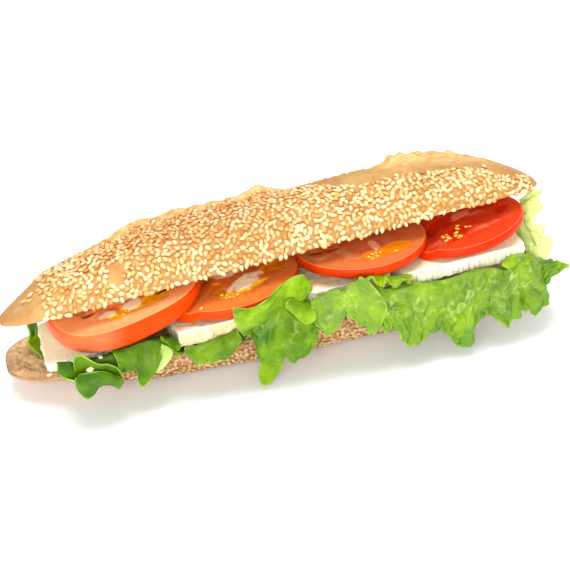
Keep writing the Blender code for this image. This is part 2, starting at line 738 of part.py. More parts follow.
def make_leaves():
    """Thin wavy solids whose two faces are split into triangles alike."""
    for name, leaf in LEAVES.items():
        green = material(name, (0.20, 0.50, 0.03), 0.4)
        columns = leaf["columns"]
        middle = leaf_sheet(leaf, columns, LEAF_ROWS)
        normal = sheet_normals(middle) * LEAF_THICKNESS / 2
        front = (middle + normal).reshape(-1, 3)
        back = (middle - normal).reshape(-1, 3)
        points = np.concatenate([front, back])
        size = len(front)
        rows = len(LEAF_ROWS)
        faces = []
        for row in range(rows - 1):
            for column in range(columns - 1):
                a = row * columns + column
                b, c, d = a + 1, a + columns + 1, a + columns
                faces += [(a, b, c), (a, c, d)]
                faces += [(a + size, c + size, b + size), (a + size, d + size, c + size)]
        border = list(range(columns - 1))
        border += [row * columns + columns - 1 for row in range(rows - 1)]
        border += [(rows - 1) * columns + column for column in range(columns - 1, 0, -1)]
        border += [row * columns for row in range(rows - 1, 0, -1)]
        for place, a in enumerate(border):
            b = border[(place + 1) % len(border)]
            faces += [(a, a + size, b + size), (a, b + size, b)]
        make_object(name, [tuple(point) for point in points], faces, green)


clear_scene()
make_breads()
make_tomatoes()
make_bries()
make_leaves()
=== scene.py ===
"""Brie sandwich: the looks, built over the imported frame.

Each piece repeats the form of the node that it stands for, with finer relief and colour.
Sizes are in millimetres and become metres when a mesh is made.
"""

import math

import bmesh
import bpy
import numpy as np
from mathutils import Matrix, Vector, noise


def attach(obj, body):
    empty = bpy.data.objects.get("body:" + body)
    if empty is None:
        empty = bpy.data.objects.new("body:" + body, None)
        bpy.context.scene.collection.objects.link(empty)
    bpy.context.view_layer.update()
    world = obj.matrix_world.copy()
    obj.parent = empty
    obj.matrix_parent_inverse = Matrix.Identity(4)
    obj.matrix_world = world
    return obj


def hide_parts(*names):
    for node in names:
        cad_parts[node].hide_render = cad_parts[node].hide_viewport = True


MM = 0.001

# Bread, as in the solids
LOAF_END = 135.0
LOAF_HALF_WIDTH = 30.0
RING_CROWDING = 0.12
CREST_CROWDING = 0.2
BOTTOM_CUT_HEIGHT = 18.0
BOTTOM_CUT_SLOPE = 0.02
BOTTOM_DEPTH = 21.0
BOTTOM_TIP_DEPTH = 6.5
BOTTOM_TIP_RISE = 64.0
TOP_CUT_HEIGHT = 49.5
TOP_CUT_RISE_X = 0.075
TOP_CUT_FALL_Y = 0.25
TOP_CREST = 23.5
TOP_TIP_CREST = 2.0
TIP_DROOP = 2.5
TIP_DROOP_START = 88.0
SCORES = (
    (-66.0, 17.0, 3.2),
    (-44.0, 15.0, 3.2),
    (-24.0, 15.0, 3.2),
    (-3.0, 16.0, 3.6),
    (87.0, 38.0, 4.6),
)

# How far the left end is drawn in
LEFT_SHIFT = 1.8
# Lumps near the crest of the top bread: x, angle, radius and height
LUMPS = (
    (-54.0, 1.62, 2.2, 1.2),
    (-34.0, 1.64, 2.6, 1.3),
    (-15.5, 1.66, 2.4, 1.4),
    (-1.5, 1.68, 3.0, 1.3),
    (65.0, 1.69, 2.2, 2.0),
    (70.5, 1.64, 2.0, 1.0),
    (97.0, 1.70, 1.9, 1.3),
    (80.0, 1.60, 1.6, 0.8),
)
# Resolution of the fine pieces
RINGS = 310
CRUST_STEPS = 112
CRUMB_STEPS = 30
TOMATO_STEPS = 190
BRIE_STEPS = 240
LEAF_PITCH = 0.76

# Sesame seeds: size, and the least distance between two of them
SEED_LENGTH = 3.6
SEED_WIDTH = 2.35
SEED_THICKNESS = 1.5
TOP_SPACING = 1.98
BOTTOM_SPACING = 2.0
TOP_TRIES = 90000
BOTTOM_TRIES = 70000
# Starts of the random draws
LOAF_DRAW = 5
PIP_DRAW = 8

# Single seeds that lie apart: place and normal
TOP_LOOSE = (
    (-118.4, -11.7, 50.5, -0.5, 0.0, 0.85),
    (-120.9, -8.8, 49.0, -0.5, 0.0, 0.85),
    (-117.2, -8.0, 51.4, -0.5, 0.1, 0.85),
    (-112.7, -22.7, 51.6, -0.4, -0.5, 0.75),
    (-112.4, -24.9, 49.6, -0.4, -0.7, 0.55),
    (-46.0, -34.1, 41.2, -0.2, 0.1, 0.97),
    (103.0, -12.5, 74.6, 0.4, -0.6, 0.7),
    (114.0, -12.0, 71.0, 0.5, -0.6, 0.6),
)
BOTTOM_LOOSE = (
    (-115.6, -17.5, 14.6, 0.0, -0.35, 0.93),
    (-94.2, -38.2, 29.8, -0.15, -0.4, 0.9),
    (-100.4, -45.2, 29.2, -0.1, -0.95, 0.2),
)

# Clearance between stacked pieces
GAP = 0.6

TOMATOES = {
    "tomato_1": dict(centre=(-77.0, -9.5, 44.2), half=(33.5, 28.5), power=2.6, turn=0.19,
                     slope=0.16, thick=10.0, thin=6.8, bulge=2.0),
    "tomato_2": dict(centre=(-27.0, -15.0, 43.4), half=(32.3, 27.6), power=1.85, turn=0.14,
                     slope=0.10, thick=4.8, thin=4.2, bulge=1.0),
    "tomato_3": dict(centre=(37.0, -16.4, 51.2), half=(31.2, 30.0), power=1.9, turn=0.06,
                     slope=0.06, thick=4.6, thin=4.2, bulge=0.9),
    "tomato_4": dict(centre=(88.0, -22.2, 53.6), half=(29.0, 25.0), power=2.1, turn=0.35,
                     slope=0.14, thick=4.3, thin=4.2, bulge=0.8),
}
PRESSED_BY = {"tomato_2": "tomato_1", "tomato_4": "tomato_3"}
PRESS_START = 1.28
PRESS_FADE = 0.2

# What a slice shows in its own plane: kind, place along and across, half sizes (mm), turn
# in degrees. Front features are as seen, and the hidden ones behind are like them.
FEATURES = {
    "tomato_1": (
        ("gel", -7.5, -16.0, 6.5, 3.6, 12), ("gel", 9.0, -15.0, 11.0, 4.6, 16),
        ("core", -12.0, -12.6, 4.4, 2.6, 6), ("red", -8.0, -9.5, 2.2, 4.2, 10),
        ("core", 0.0, -12.6, 5.6, 3.6, 26), ("hollow", -18.6, -5.0, 3.2, 1.8, 0),
        ("hollow", 17.0, -11.0, 5.0, 1.6, 10), ("core", -1.0, 0.0, 10.0, 7.0, 0),
        ("gel", 13.0, 12.0, 8.0, 5.0, 35), ("gel", -12.0, 13.0, 8.0, 5.0, -35),
        ("gel", -20.0, 3.0, 4.0, 5.0, 0),
    ),
    "tomato_2": (
        ("gel", 2.4, -13.2, 10.0, 2.0, 10), ("gel", -7.5, -13.0, 3.6, 2.6, 0),
        ("core", 4.2, -6.9, 9.6, 4.8, 24), ("red", 20.0, -3.0, 7.0, 5.0, 10),
        ("red", -9.0, -5.0, 3.6, 6.4, -10), ("core", 1.0, 8.0, 7.0, 5.0, 0),
        ("gel", 13.0, 14.0, 8.0, 5.0, 35), ("gel", -12.0, 14.0, 8.0, 5.0, -35),
    ),
    "tomato_3": (
        ("red", -19.0, 0.5, 7.0, 3.6, 0), ("hollow", -14.6, -1.2, 2.6, 1.8, 0),
        ("hollow", -23.0, 0.6, 3.2, 1.6, 10), ("pale", -12.4, -8.0, 3.4, 7.6, 10),
        ("pale", -22.0, -6.6, 5.0, 2.4, 10), ("gel", 0.6, -17.4, 7.0, 4.4, 0),
        ("gel", 11.2, -16.2, 6.6, 4.6, 6), ("core", 2.9, -8.6, 2.4, 5.6, -10),
        ("core", 0.0, 8.0, 8.0, 5.0, 0), ("gel", 13.0, 17.0, 8.0, 4.0, 35),
        ("gel", -12.0, 17.0, 8.0, 4.0, -35),
    ),
    "tomato_4": (
        ("red", -9.0, 8.0, 8.0, 5.0, 0), ("red", -12.0, -5.4, 9.0, 5.0, 8),
        # The pale marks of tomato_4 are painted highlights, glints on its wet face.
        ("pale", 8.4, 1.0, 8.0, 2.4, -26), ("pale", -21.0, -4.0, 2.8, 6.4, 14),
        ("pale", 2.0, -12.4, 13.0, 2.2, -12),
        ("red", 18.0, -6.0, 4.0, 3.0, 20), ("core", 3.0, 6.0, 6.0, 3.0, 0),
        ("red", 12.0, 13.0, 7.0, 4.0, 35),
    ),
}
# Loose seeds of each slice, where they lie in its plane
PIPS = {
    "tomato_1": (
        (-6.5, -17.5), (-4.0, -15.8), (-9.0, -15.0), (3.0, -17.0), (14, 12), (-12, 13), (-10, 10),
        (10, 13),
    ),
    "tomato_2": (
        (-9.0, -10.3), (-8.6, -14.1), (-6.8, -14.5), (-5.4, -15.6), (-3.2, -15.2), (-7.4, -12.0),
        (13, 14), (-12, 14),
    ),
    "tomato_3": (
        (-3.7, -17.7), (-3.0, -20.4), (-0.2, -18.9), (2.6, -16.4), (0.7, -15.9), (-1.2, -16.6),
        (9.4, -19.4), (13, 17), (-12, 17),
    ),
    "tomato_4": (
        (-16.5, -2.4), (-18.3, -6.6), (-16.2, -6.4), (-14.2, -2.7), (-15.4, -4.6), (-13.4, -9.6),
        (-11.6, -9.0), (-10.6, -5.0), (-12.6, -6.8), (-5.1, -0.9), (-7.2, -2.6), (-3.6, -4.9),
        (-2.4, -6.4), (12, 13),
    ),
}
# Flesh, skin, gel and core of each slice
TOMATO_TINTS = {
    "tomato_1": ((250, 154, 96), (222, 66, 0), (255, 190, 16), (255, 240, 200)),
    "tomato_2": ((224, 114, 46), (216, 64, 0), (255, 206, 6), (255, 242, 204)),
    "tomato_3": ((208, 106, 54), (208, 54, 0), (240, 140, 6), (246, 176, 130)),
    "tomato_4": ((212, 58, 20), (218, 44, 0), (200, 36, 8), (240, 130, 96)),
}

BRIES = {
    "brie_1": dict(corners=((-117.4, -25.0), (-84.0, -29.0), (-80.0, 8.0), (-116.0, 12.5)),
                   tops=(23.4, 30.2, 29.6, 26.4), thickness=4.2, top=0.05, front=0.5, ribs=0.1),
    "brie_2": dict(corners=((-58.5, -38.0), (-29.5, -38.5), (-28.0, -8.0), (-60.0, -9.0)),
                   tops=(33.6, 35.4, 35.4, 30.6), thickness=8.4, top=0.8, front=0.15, ribs=0.0),
    "brie_3": dict(corners=((2.5, -38.0), (44.0, -39.5), (43.0, -9.0), (7.0, -9.0)),
                   tops=(40.4, 42.6, 43.6, 39.8), thickness=8.4, top=0.8, front=0.2, ribs=0.0),
    "brie_4": dict(corners=((47.0, -44.0), (109.5, -45.0), (112.5, -14.0), (48.0, -12.0)),
                   tops=(43.4, 46.8, 47.4, 40.8), thickness=7.4, top=0.0, front=1.0, ribs=1.0),
}

LEAF_THICKNESS = 0.9
ROOT_LIFT = 1.4
TUCK = (0.72, 0.5)
LEAF_LOWEST = 0.35
# Lettuce sheets. A station is three points from the inside to the free edge: x, y and z of
# each, or x and z where deep gives their y. A sheet that isn't free starts at a root under
# the filling.
LEAVES = {
    "lettuce_left": (
        dict(root_y=-14, tuck=(0.7, 0.3), frill=0.3, pitch=14, dent=0, blister=0.2, inner_shade=0.6,
            square=True, stations=(
            (-111, -30, 19.5, -112, -37, 23, -112.3, -43.5, 27),
            (-106, -30, 19, -106, -38, 22.5, -105.8, -47.8, 25.5),
            (-101, -30, 19, -101.5, -38, 22, -101.6, -48.2, 24.6),
            (-96, -30, 19, -96.5, -38, 21.5, -96.6, -48, 24.6),
            (-91, -30, 18.5, -91.5, -38, 20.5, -91.6, -47.6, 23),
            (-87.5, -30, 18, -88, -37, 19.5, -88.6, -46, 21.5),
        )),
        dict(root_y=-14, tuck=(0.72, 0.3), frill=0.8, pitch=12, dent=0.03, blister=0.3, inner_shade=0.5,
            stations=(
            (-109, -31, 25, -111, -34, 24, -112, -35, 23),
            (-105, -35, 27, -106.5, -38, 25, -107, -38, 22),
            (-97, -37, 29, -98, -39.5, 25, -98, -39, 20),
            (-88, -37.5, 30, -88, -39.5, 25, -88, -39, 20),
            (-80, -36.5, 31, -80, -38.5, 26, -80, -38, 21),
            (-72, -36.5, 32, -72, -38.5, 27, -72, -38, 22),
            (-64, -35, 31, -64, -37.5, 27, -64, -37, 24),
            (-58, -33, 28, -58, -35, 26, -58, -35, 25),
        )),
        dict(free=True, frill=0.5, pitch=9, dent=0.02, blister=0.2, inner_shade=0.75,
            deep=(-41, -44, -43.5), stations=(
            (-113.4, 33.3, -113.9, 32.9, -114.2, 30.4), (-111.7, 33.4, -112.4, 31.6, -112.8, 27.8),
            (-109.5, 32.9, -110.1, 30.6, -110.5, 26.2), (-107.4, 32.4, -107.8, 30.1, -107.9, 25.8),
            (-106, 30, -106.1, 29.7, -105.9, 27.4),
        )),
        dict(free=True, frill=0.3, pitch=12, dent=0.01, blister=0.15, inner_shade=0.6,
            deep=(-43, -44.5, -45.5), stations=(
            (-106.4, 26.7, -106.7, 31.3, -107, 35.5), (-105.3, 24.9, -105.2, 31.5, -105, 37.8),
            (-102.2, 25.1, -101.9, 30.8, -101.7, 36.1), (-99.6, 24.7, -99.4, 29.4, -99.2, 33.6),
            (-96.6, 24, -96.3, 27.6, -95.9, 31), (-92.8, 22.3, -92.6, 26.4, -92.3, 30.1),
            (-89.5, 19.9, -89.1, 23.8, -88.6, 27.3), (-87.5, 18.4, -87.2, 21.4, -86.9, 24.1),
        )),
        dict(free=True, frill=0.5, pitch=16, dent=0.02, blister=0.2, rims=True, inner_shade=0.6,
            deep=(-46.5, -49, -46.5), stations=(
            (-106.9, 27.3, -107.3, 28.3, -107.2, 26.3), (-105.3, 28.7, -106.5, 26.6, -107.1, 21.5),
            (-103.2, 28.8, -104.5, 25.1, -105.5, 18.3), (-101, 28.8, -102.6, 23.6, -103.3, 15.9),
            (-98.8, 28.6, -99.9, 23.9, -100.1, 17.3), (-97.1, 28.3, -97.7, 25.4, -97.9, 20.1),
            (-95, 27.6, -95.4, 24.8, -95.5, 20.3), (-92.9, 26.6, -93, 24.2, -92.9, 19.9),
            (-90.9, 25.1, -90.7, 23.1, -90.6, 18.6), (-89.2, 23.7, -89.1, 22.2, -88.9, 17.5),
            (-87.4, 23.1, -87.7, 22.9, -87.2, 19.8), (-86.7, 22.8, -87.1, 23.3, -86.8, 21.3),
        )),
        dict(free=True, frill=0.6, pitch=14, dent=0.02, blister=0.25, inner_shade=0.6,
            deep=(-39, -43.5, -43), stations=(
            (-89, 32.4, -87.8, 29, -86.9, 19.3), (-86.3, 32.3, -86.1, 30.1, -85.5, 25.1),
            (-83.6, 32.4, -84, 29.1, -83.7, 23.7), (-80.9, 32.6, -81.4, 28.5, -81.6, 22.6),
            (-78.1, 33.2, -79.3, 29.5, -79.8, 23.2), (-76.3, 33.5, -78.3, 26.7, -80.1, 17.6),
            (-74.9, 33.7, -76.7, 24.3, -78.5, 13.2), (-72.6, 33.9, -74.2, 24.7, -75.5, 14.4),
            (-70.4, 33.6, -71.9, 25.2, -73.4, 17), (-68.7, 32.7, -69.5, 27.7, -71.6, 20.7),
            (-67.3, 30.9, -68.1, 28.9, -69.1, 24.7),
        )),
        dict(free=True, frill=0.5, pitch=9, dent=0.04, blister=0.3, pale=0.45,
            deep=(-39, -41, -41), stations=(
            (-67.9, 31.5, -68.4, 27.1, -72.3, 16.6), (-65.8, 30, -66.3, 25.5, -69.1, 18.4),
            (-64.1, 28.6, -64.4, 25.6, -66.1, 21.1), (-62.5, 26.6, -62.6, 26.2, -62.9, 24.2),
        )),
        dict(free=True, frill=0.2, pitch=9, dent=0.02, blister=0.2, inner_shade=0.5,
            deep=(-35, -37, -37), stations=(
            (-66.4, 32.6, -66.3, 31.9, -65.8, 30), (-63.9, 30.8, -64, 29.9, -63.7, 27.9),
            (-61.4, 27.6, -62, 27, -62.2, 25.2), (-59, 23.9, -59.8, 23.7, -60.1, 22.4),
            (-56.4, 22.3, -57.1, 22.7, -57.4, 22),
        )),
    ),
    "lettuce_end": (
        dict(free=True, square=True, frill=0.25, pitch=14, dent=0.01, blister=0.2, inner_shade=0.25,
            stations=(
            (-115.4, 15.5, 26.5, -118, 15.8, 26.2, -120.6, 14, 26.7),
            (-115.4, 14.5, 21.5, -117.6, 14.8, 21, -119.8, 13, 21.9),
            (-114.8, 12.4, 18.5, -118.2, 12, 18, -121.6, 10.4, 17.9),
            (-114.5, 5.5, 18.3, -117.2, 5.2, 17.6, -120, 3.4, 17.4),
            (-114, -2, 18.3, -115.6, -3.2, 17.6, -117.2, -5.2, 17.4),
        )),
    ),
    "lettuce_tongue": (
        dict(root_y=-14, tuck=(0.76, 0.3), frill=0.6, pitch=12, dent=0.03, blister=0.25,
            square=True, inner_shade=0.4, deep=(-39, -43.5, -42.5), stations=(
            (-56.7, 26.3, -57.6, 28.4, -57.5, 27.3), (-54.7, 26.1, -55.6, 26.1, -55.4, 23),
            (-52.4, 26.1, -53, 24.2, -52.6, 19.2), (-49.6, 26.2, -50.3, 24.1, -49.8, 18.7),
            (-46.3, 26.7, -47.4, 24.2, -47.3, 18.5), (-43.4, 27.3, -44.7, 23.5, -44.8, 16.5),
            (-40.6, 28.2, -41.8, 24.8, -41.7, 18.1), (-37.8, 28.3, -39, 24.6, -39, 17.5),
            (-35.4, 28.5, -36, 25.9, -35.3, 20.1), (-33.9, 29.7, -33.7, 28.3, -32.1, 23.6),
            (-32.6, 30.5, -32.4, 30.4, -30.9, 27.2),
        )),
    ),
    "lettuce_middle": (
        dict(root_y=-16, frill=0.8, pitch=16, dent=0.02, blister=0.9, square=True,
            tuck=(0.72, 0.3), inner_shade=0.25, stations=(
            (-27.7, -42, 29.9, -27.1, -43, 28.7, -27, -43, 27.6),
            (-26, -43, 32, -25.9, -45, 28.9, -25.1, -44.5, 24.8),
            (-23.8, -44, 34.1, -24.3, -47, 27, -24.4, -46, 20.8),
            (-21, -44.5, 35.8, -22.1, -48.5, 24.7, -23.5, -47, 14.8),
            (-18, -44.5, 37.6, -19.7, -49, 27, -20.4, -47, 14.9),
            (-15.1, -44.5, 39.8, -16.9, -49, 27.4, -17.3, -47, 14.7),
            (-12, -44, 41.6, -13.8, -48.5, 27.9, -14.7, -47, 14.6),
            (-9.3, -43, 42.1, -10.8, -48, 28.5, -11.8, -47, 14.4),
            (-7.2, -42, 40.1, -7.9, -47.5, 26.6, -9.1, -47, 11.4),
            (-4.9, -42, 38, -5.1, -47.5, 25.9, -6.7, -47, 12.3),
            (-2.6, -42, 36, -2, -47, 26, -3.6, -46.5, 11.9),
            (-0.8, -42, 34, 0.4, -47, 26.4, -0.7, -46.5, 13.9),
            (1, -42, 32.1, 2.5, -46.5, 26.7, 2.3, -46, 17.9),
            (2.3, -42, 29.7, 3.6, -46, 27.3, 3.9, -46, 23.3),
        )),
        dict(free=True, frill=0.4, pitch=12, dent=0.05, blister=0.3, bright=0.3, inner_shade=0.3,
            deep=(-45, -46, -45.5), stations=(
            (-23.1, 15.2, -24.5, 12.7, -25.5, 9.2), (-21.1, 15.8, -23.2, 10.5, -25, 4.3),
            (-18.7, 15.8, -20.8, 9.3, -22.5, 1.8), (-16.4, 15.7, -17.9, 10, -19, 3.3),
            (-14, 15.1, -15.4, 11.4, -16.5, 6.7), (-12.7, 13.8, -13.7, 11.8, -14.2, 8.8),
        )),
        dict(free=True, frill=0.4, pitch=12, dent=0.01, blister=0.3, bright=0.1,
            deep=(-40.6, -49.5, -51), stations=(
            (-4.3, 42.6, -10.2, 45.4, -12.4, 44.7), (-3.3, 41.1, -9, 43.2, -11.2, 42.1),
            (-1.9, 39.7, -6.8, 40.6, -9, 39.1), (-0.1, 38.8, -4.1, 38.5, -6, 35.1),
            (1.8, 37.9, -1.4, 36.9, -2.3, 32), (3.1, 37.1, 0.5, 36.4, 0.5, 32.5),
            (4.3, 35.8, 2.4, 36.5, 2.2, 33.8),
        )),
    ),
    "lettuce_fold": (
        dict(frill=0.5, pitch=15, dent=0.01, blister=0.35, square=True,
            root=((-21, -22, 25.5), (-17, -22, 26), (-13, -22, 27), (-9, -22, 28), (-5, -22, 28),
                  (-2, -23, 28)),
            stations=(
            (-31.6, -47.5, 31.4, -35.4, -50, 40.8, -35.3, -48.5, 46.8),
            (-29.7, -48, 33.2, -32.1, -50.5, 40.8, -32.2, -49, 46.1),
            (-26.9, -48.5, 35.2, -28.5, -50.5, 41, -28.4, -49, 45),
            (-23.5, -48.5, 36.8, -24.6, -50, 41.9, -24.3, -48.5, 45.3),
            (-19.7, -48.5, 39.1, -20, -49, 43.4, -19.8, -47.5, 46.6),
            (-16, -47.8, 41.4, -15.6, -47.5, 45.7, -14.7, -46, 49.7),
            (-12.8, -47, 43.3, -11.8, -46, 47.1, -10.6, -44, 50.7),
            (-9.6, -46, 44.1, -8, -44.5, 48, -6.5, -42, 51.6),
            (-6.5, -45, 43.7, -4.4, -43, 47.6, -2.5, -40, 51.6),
            (-3.5, -44, 41.5, -1, -41.5, 45.6, 1, -38.5, 50.6),
            (-0.8, -43, 40.9, 1.7, -41, 43.8, 3.5, -38.5, 47.3),
            (1.5, -42, 41.5, 3.3, -41, 42.4, 4.7, -39, 43.4),
        )),
    ),
    "lettuce_right": (
        dict(root_y=-16, frill=0.8, pitch=9, dent=0.05, blister=0.8, square=True,
            tuck=(0.74, 0.34), pale=0.06, inner_shade=0.14, stations=(
            (1.9, -44.5, 39.3, 0.9, -47, 35.6, 1.4, -46, 29.9),
            (6.4, -45.5, 41.6, 4.4, -49, 35.3, 3.7, -48, 27.2),
            (10, -46.5, 43.3, 7.8, -50, 34, 7.2, -49.5, 22.9),
            (13.1, -47, 44.1, 11.6, -50.5, 36, 11.5, -49.5, 25.7),
            (16.3, -47.5, 42.6, 15, -50.5, 37.8, 15.6, -50, 30.7),
            (18.1, -48, 45, 17.7, -51, 37.9, 18.7, -50, 28.7),
            (20.4, -48.5, 46.5, 21.6, -52, 37.5, 22.4, -51, 25),
            (22.6, -49, 47.3, 26.5, -53, 35.9, 25.5, -52, 21.7),
            (24.6, -49.5, 49.5, 34.8, -54, 34, 28.4, -53, 18.9),
        )),
        dict(root_y=-16, frill=1.3, pitch=10, dent=0.05, blister=1.5, square=True,
            tuck=(0.74, 0.34), pale=0.04, inner_shade=0.14, stations=(
            (27.1, -46, 43.7, 26.7, -47.5, 35.7, 27.1, -47, 26.6),
            (30.5, -47, 42.9, 31, -50, 33.9, 33.1, -49, 22.5),
            (36.3, -47, 39.6, 35.2, -51, 30.2, 35.7, -51, 18.3),
            (41.5, -47.5, 39.9, 39.1, -51.5, 30.8, 38.2, -52, 19.5),
            (45.7, -48, 40.3, 42.8, -52, 29.9, 41.2, -52.5, 17.3),
            (50.5, -48, 40.3, 46.3, -52, 27.5, 43, -54, 13.3),
            (53.5, -48.3, 39.5, 49.5, -53, 26.1, 46.9, -54.5, 10.6),
            (56.4, -48.5, 38.8, 53, -53, 25.6, 51.2, -54, 10.1),
            (59.4, -48.5, 39, 56.2, -52.5, 26.6, 54.7, -53, 11.9),
            (63.4, -48.5, 38.3, 60.2, -52, 27.1, 58.7, -52, 13.7),
            (66.9, -48.5, 38.3, 63.7, -52, 27.3, 62.4, -51.5, 13.9),
            (70.4, -48.5, 38.5, 67.2, -52.5, 26.2, 65.6, -53, 11.5),
            (73.3, -48.7, 39, 70, -53, 24.1, 67.9, -54.5, 7.1),
            (76.8, -48.8, 39.6, 73.5, -53.5, 22.9, 71.8, -55, 4),
            (80.3, -49, 40.3, 77.2, -53.5, 24.3, 76, -54, 5.6),
            (83.3, -49, 40.4, 80.1, -52.5, 26.7, 78.9, -52, 10.3),
            (86.4, -49, 40, 83.3, -52, 28.8, 82.1, -51, 15),
            (89.4, -49, 39.6, 86.9, -52, 29.1, 86.7, -50.5, 15.8),
            (92.5, -49, 38.8, 90.2, -53, 28.5, 90.7, -51.5, 14.6),
            (95.6, -49, 38.1, 94.7, -53.5, 24.9, 95.8, -54, 9),
            (98.7, -49, 39.2, 97.4, -53.5, 27.4, 98.9, -53, 12.4),
            (101.2, -49, 40.8, 100.4, -53, 28.3, 102.3, -52, 12.5),
            (103.8, -49, 41.8, 102.7, -52, 30.5, 104.3, -50, 15.9),
            (107.5, -47, 40.7, 106.5, -51, 28.2, 108.3, -50, 12.6),
            (111.7, -44, 38.4, 110.8, -50, 26.2, 112.6, -51, 10.7),
            (116.1, -41, 35.9, 115, -48, 26, 116.8, -50, 13.1),
            (120.5, -37, 32.7, 118.7, -45, 25.4, 120.3, -47, 14.7),
            (123.8, -34, 30.4, 120.5, -41, 26, 120.1, -43, 18.8),
            (126.6, -32, 28.6, 124.4, -40, 27.3, 124.5, -44, 23.7),
            (129.4, -30, 26.9, 128.7, -38, 27.6, 129.2, -44, 27.3),
            (131.6, -29, 26.2, 131.5, -37, 29, 131.9, -44, 31.3),
        )),
        dict(free=True, frill=1.2, pitch=6, dent=0.05, blister=0.3, bright=0.3,
            deep=(-46, -50, -51), stations=(
            (27.1, 45.7, 26.1, 47.9, 26.2, 48.5), (29.6, 46.7, 28.8, 48.3, 29.1, 48.3),
            (32.5, 46.6, 31.6, 46.2, 31.9, 44.2), (35.4, 46.1, 34.4, 45.4, 34.5, 43),
            (37.8, 45.4, 36.4, 46.3, 36.3, 45.5), (40.2, 44.6, 38.8, 44.2, 38.6, 42.2),
            (43.2, 44, 41.9, 44, 41.8, 42.3), (45.6, 44, 44.2, 44.8, 44, 43.9),
            (48.1, 43.8, 46.6, 43.6, 46.4, 41.8), (50.6, 42.5, 49, 43.7, 48.8, 43.3),
        )),
        dict(free=True, frill=0.9, pitch=6, dent=0.05, blister=0.3, bright=0.2,
            deep=(-45, -49.5, -51), stations=(
            (96.6, 38.9, 94.3, 41, 93.6, 41.5), (98.6, 41.1, 96.7, 40.6, 96.4, 38.4),
            (101.2, 41.9, 99.7, 41.1, 99.7, 38.6), (104.3, 42, 102.2, 42.5, 101.7, 41.3),
            (106.9, 41.8, 104.8, 41.6, 104.3, 39.7), (109.6, 40.7, 107.9, 40.5, 108, 38.8),
            (112.2, 38.6, 110, 40.5, 109.5, 40.7),
        )),
        dict(free=True, frill=0.2, pitch=9, dent=0.02, blister=0.2, inner_shade=0.15, rims=True,
            deep=(-54.5, -56.5, -55.5), stations=(
            (66.3, 14.5, 65.5, 14.9, 66.2, 13.5), (67.6, 18.2, 67.6, 15.5, 69, 10.9),
            (69.9, 21.1, 70, 17.5, 71.5, 11.9), (71.9, 22.6, 71.9, 20.3, 73.3, 16.1),
            (73.2, 20.9, 72.6, 20.8, 73.4, 18.9),
        )),
    ),
    "lettuce_tip": (
        dict(frill=1.2, pitch=8, dent=0.08, blister=0.5, pale=0.85,
            root=((108, -14, 24), (109, -10, 24), (109, -6, 24)),
            stations=(
            (119, -28, 33, 122, -30, 34, 125, -31, 36), (119, -22, 35, 122, -25, 39, 124, -27, 43),
            (118.5, -16, 39, 120, -19, 46, 121.5, -21, 53),
        )),
        dict(frill=1.6, pitch=8, dent=0.1, blister=0.5, pale=0.9,
            root=((109, -6, 24), (109, -2, 24), (109, 3, 23.5), (108, 8, 23), (105, 13, 22)),
            stations=(
            (120, -14, 42, 123, -15, 49, 125.5, -17, 55), (119, -4, 39, 122, -7, 44, 124, -9, 49),
            (121, 5, 34, 125, 5, 38, 128, 4, 42), (118, 14, 27, 122, 16, 30, 125, 17, 33),
        )),
        dict(frill=1, pitch=7, dent=0.06, blister=0.7, pale=0.75, square=True, free=True,
            stations=(
            (122.3, -12, 53.4, 124.5, -15, 57.1, 126.7, -18, 60.8),
            (122.3, -14, 52.6, 126.6, -17, 56.4, 130.8, -20, 60.2),
            (121.8, -16, 51.9, 124.8, -18, 54.8, 128.2, -19, 57.2),
            (121.9, -17, 49.6, 126.4, -19, 50.6, 131.1, -20.5, 51.4),
            (120.9, -18, 47, 123.6, -20, 48.6, 126.8, -21, 49.7),
            (119.4, -19, 44.5, 122.5, -21, 45.8, 126.4, -21.5, 46.3),
            (118.9, -20, 42.3, 121.4, -22, 43.2, 124.9, -22, 43),
            (119.6, -21, 39.9, 123.3, -23, 42.1, 128.2, -23, 43.3),
            (120.2, -22, 37.5, 125.3, -24, 40.9, 131.2, -24.5, 43.6),
            (120.3, -23, 35.2, 123.8, -26, 37.4, 128.9, -26, 38),
            (119.8, -25, 33.4, 124.6, -28, 37.4, 130.4, -29, 40.3),
            (118.8, -27, 32.4, 124.6, -30, 34.9, 131.6, -31, 36.3),
            (118.3, -29, 31.2, 123.2, -32, 32.6, 128.5, -34, 33.4),
            (118.9, -30, 29.3, 122.1, -33, 31.1, 125.3, -36, 32.8),
        )),
    ),
    "lettuce_back": (
        dict(root_y=-4, frill=2, pitch=10, dent=0.08, blister=1, pale=0.08, step=1.15, stations=(
            (-104, 23, 23.5, -105, 27.5, 23.8, -106, 29, 24),
            (-88, 27, 25, -88, 31.5, 23.5, -88, 33, 22), (-70, 29, 27, -70.5, 34, 24, -71, 36, 21),
            (-52, 30, 28, -51.5, 34.7, 26.5, -51, 36.5, 25),
            (-34, 31, 29, -34, 36, 24.5, -34, 38, 20), (-15, 31, 31, -14.5, 36, 28.5, -14, 38, 26),
            (5, 32, 32, 5, 37, 27, 5, 39, 22), (25, 32, 32, 25, 36.5, 29.5, 25, 38, 27),
            (44, 32, 33, 44, 37.5, 27.5, 44, 40, 22), (63, 31, 34, 63.5, 36, 31, 64, 38, 28),
            (82, 30, 34, 82.5, 35.5, 28.5, 83, 38, 23),
            (100, 27, 33, 101.5, 32, 31.5, 103, 34, 30),
        )),
    ),
}

# Lights: name, place (m), size (m) and power (W)
LIGHTS = (
    ("front", (-0.60, -1.15, 0.50), 0.8, 11.5),
    ("low", (-0.15, -1.35, 0.26), 0.7, 6.5),
    ("above", (-0.05, 0.05, 1.2), 0.7, 10.5),
    ("side", (1.1, -0.3, 0.6), 0.7, 2.0),
)
TARGET = (0.0, 0.0, 0.030)
WORLD_STRENGTH = 0.56
FLOOR_GLOW = 0.10
FLOOR_REACH = 4.0
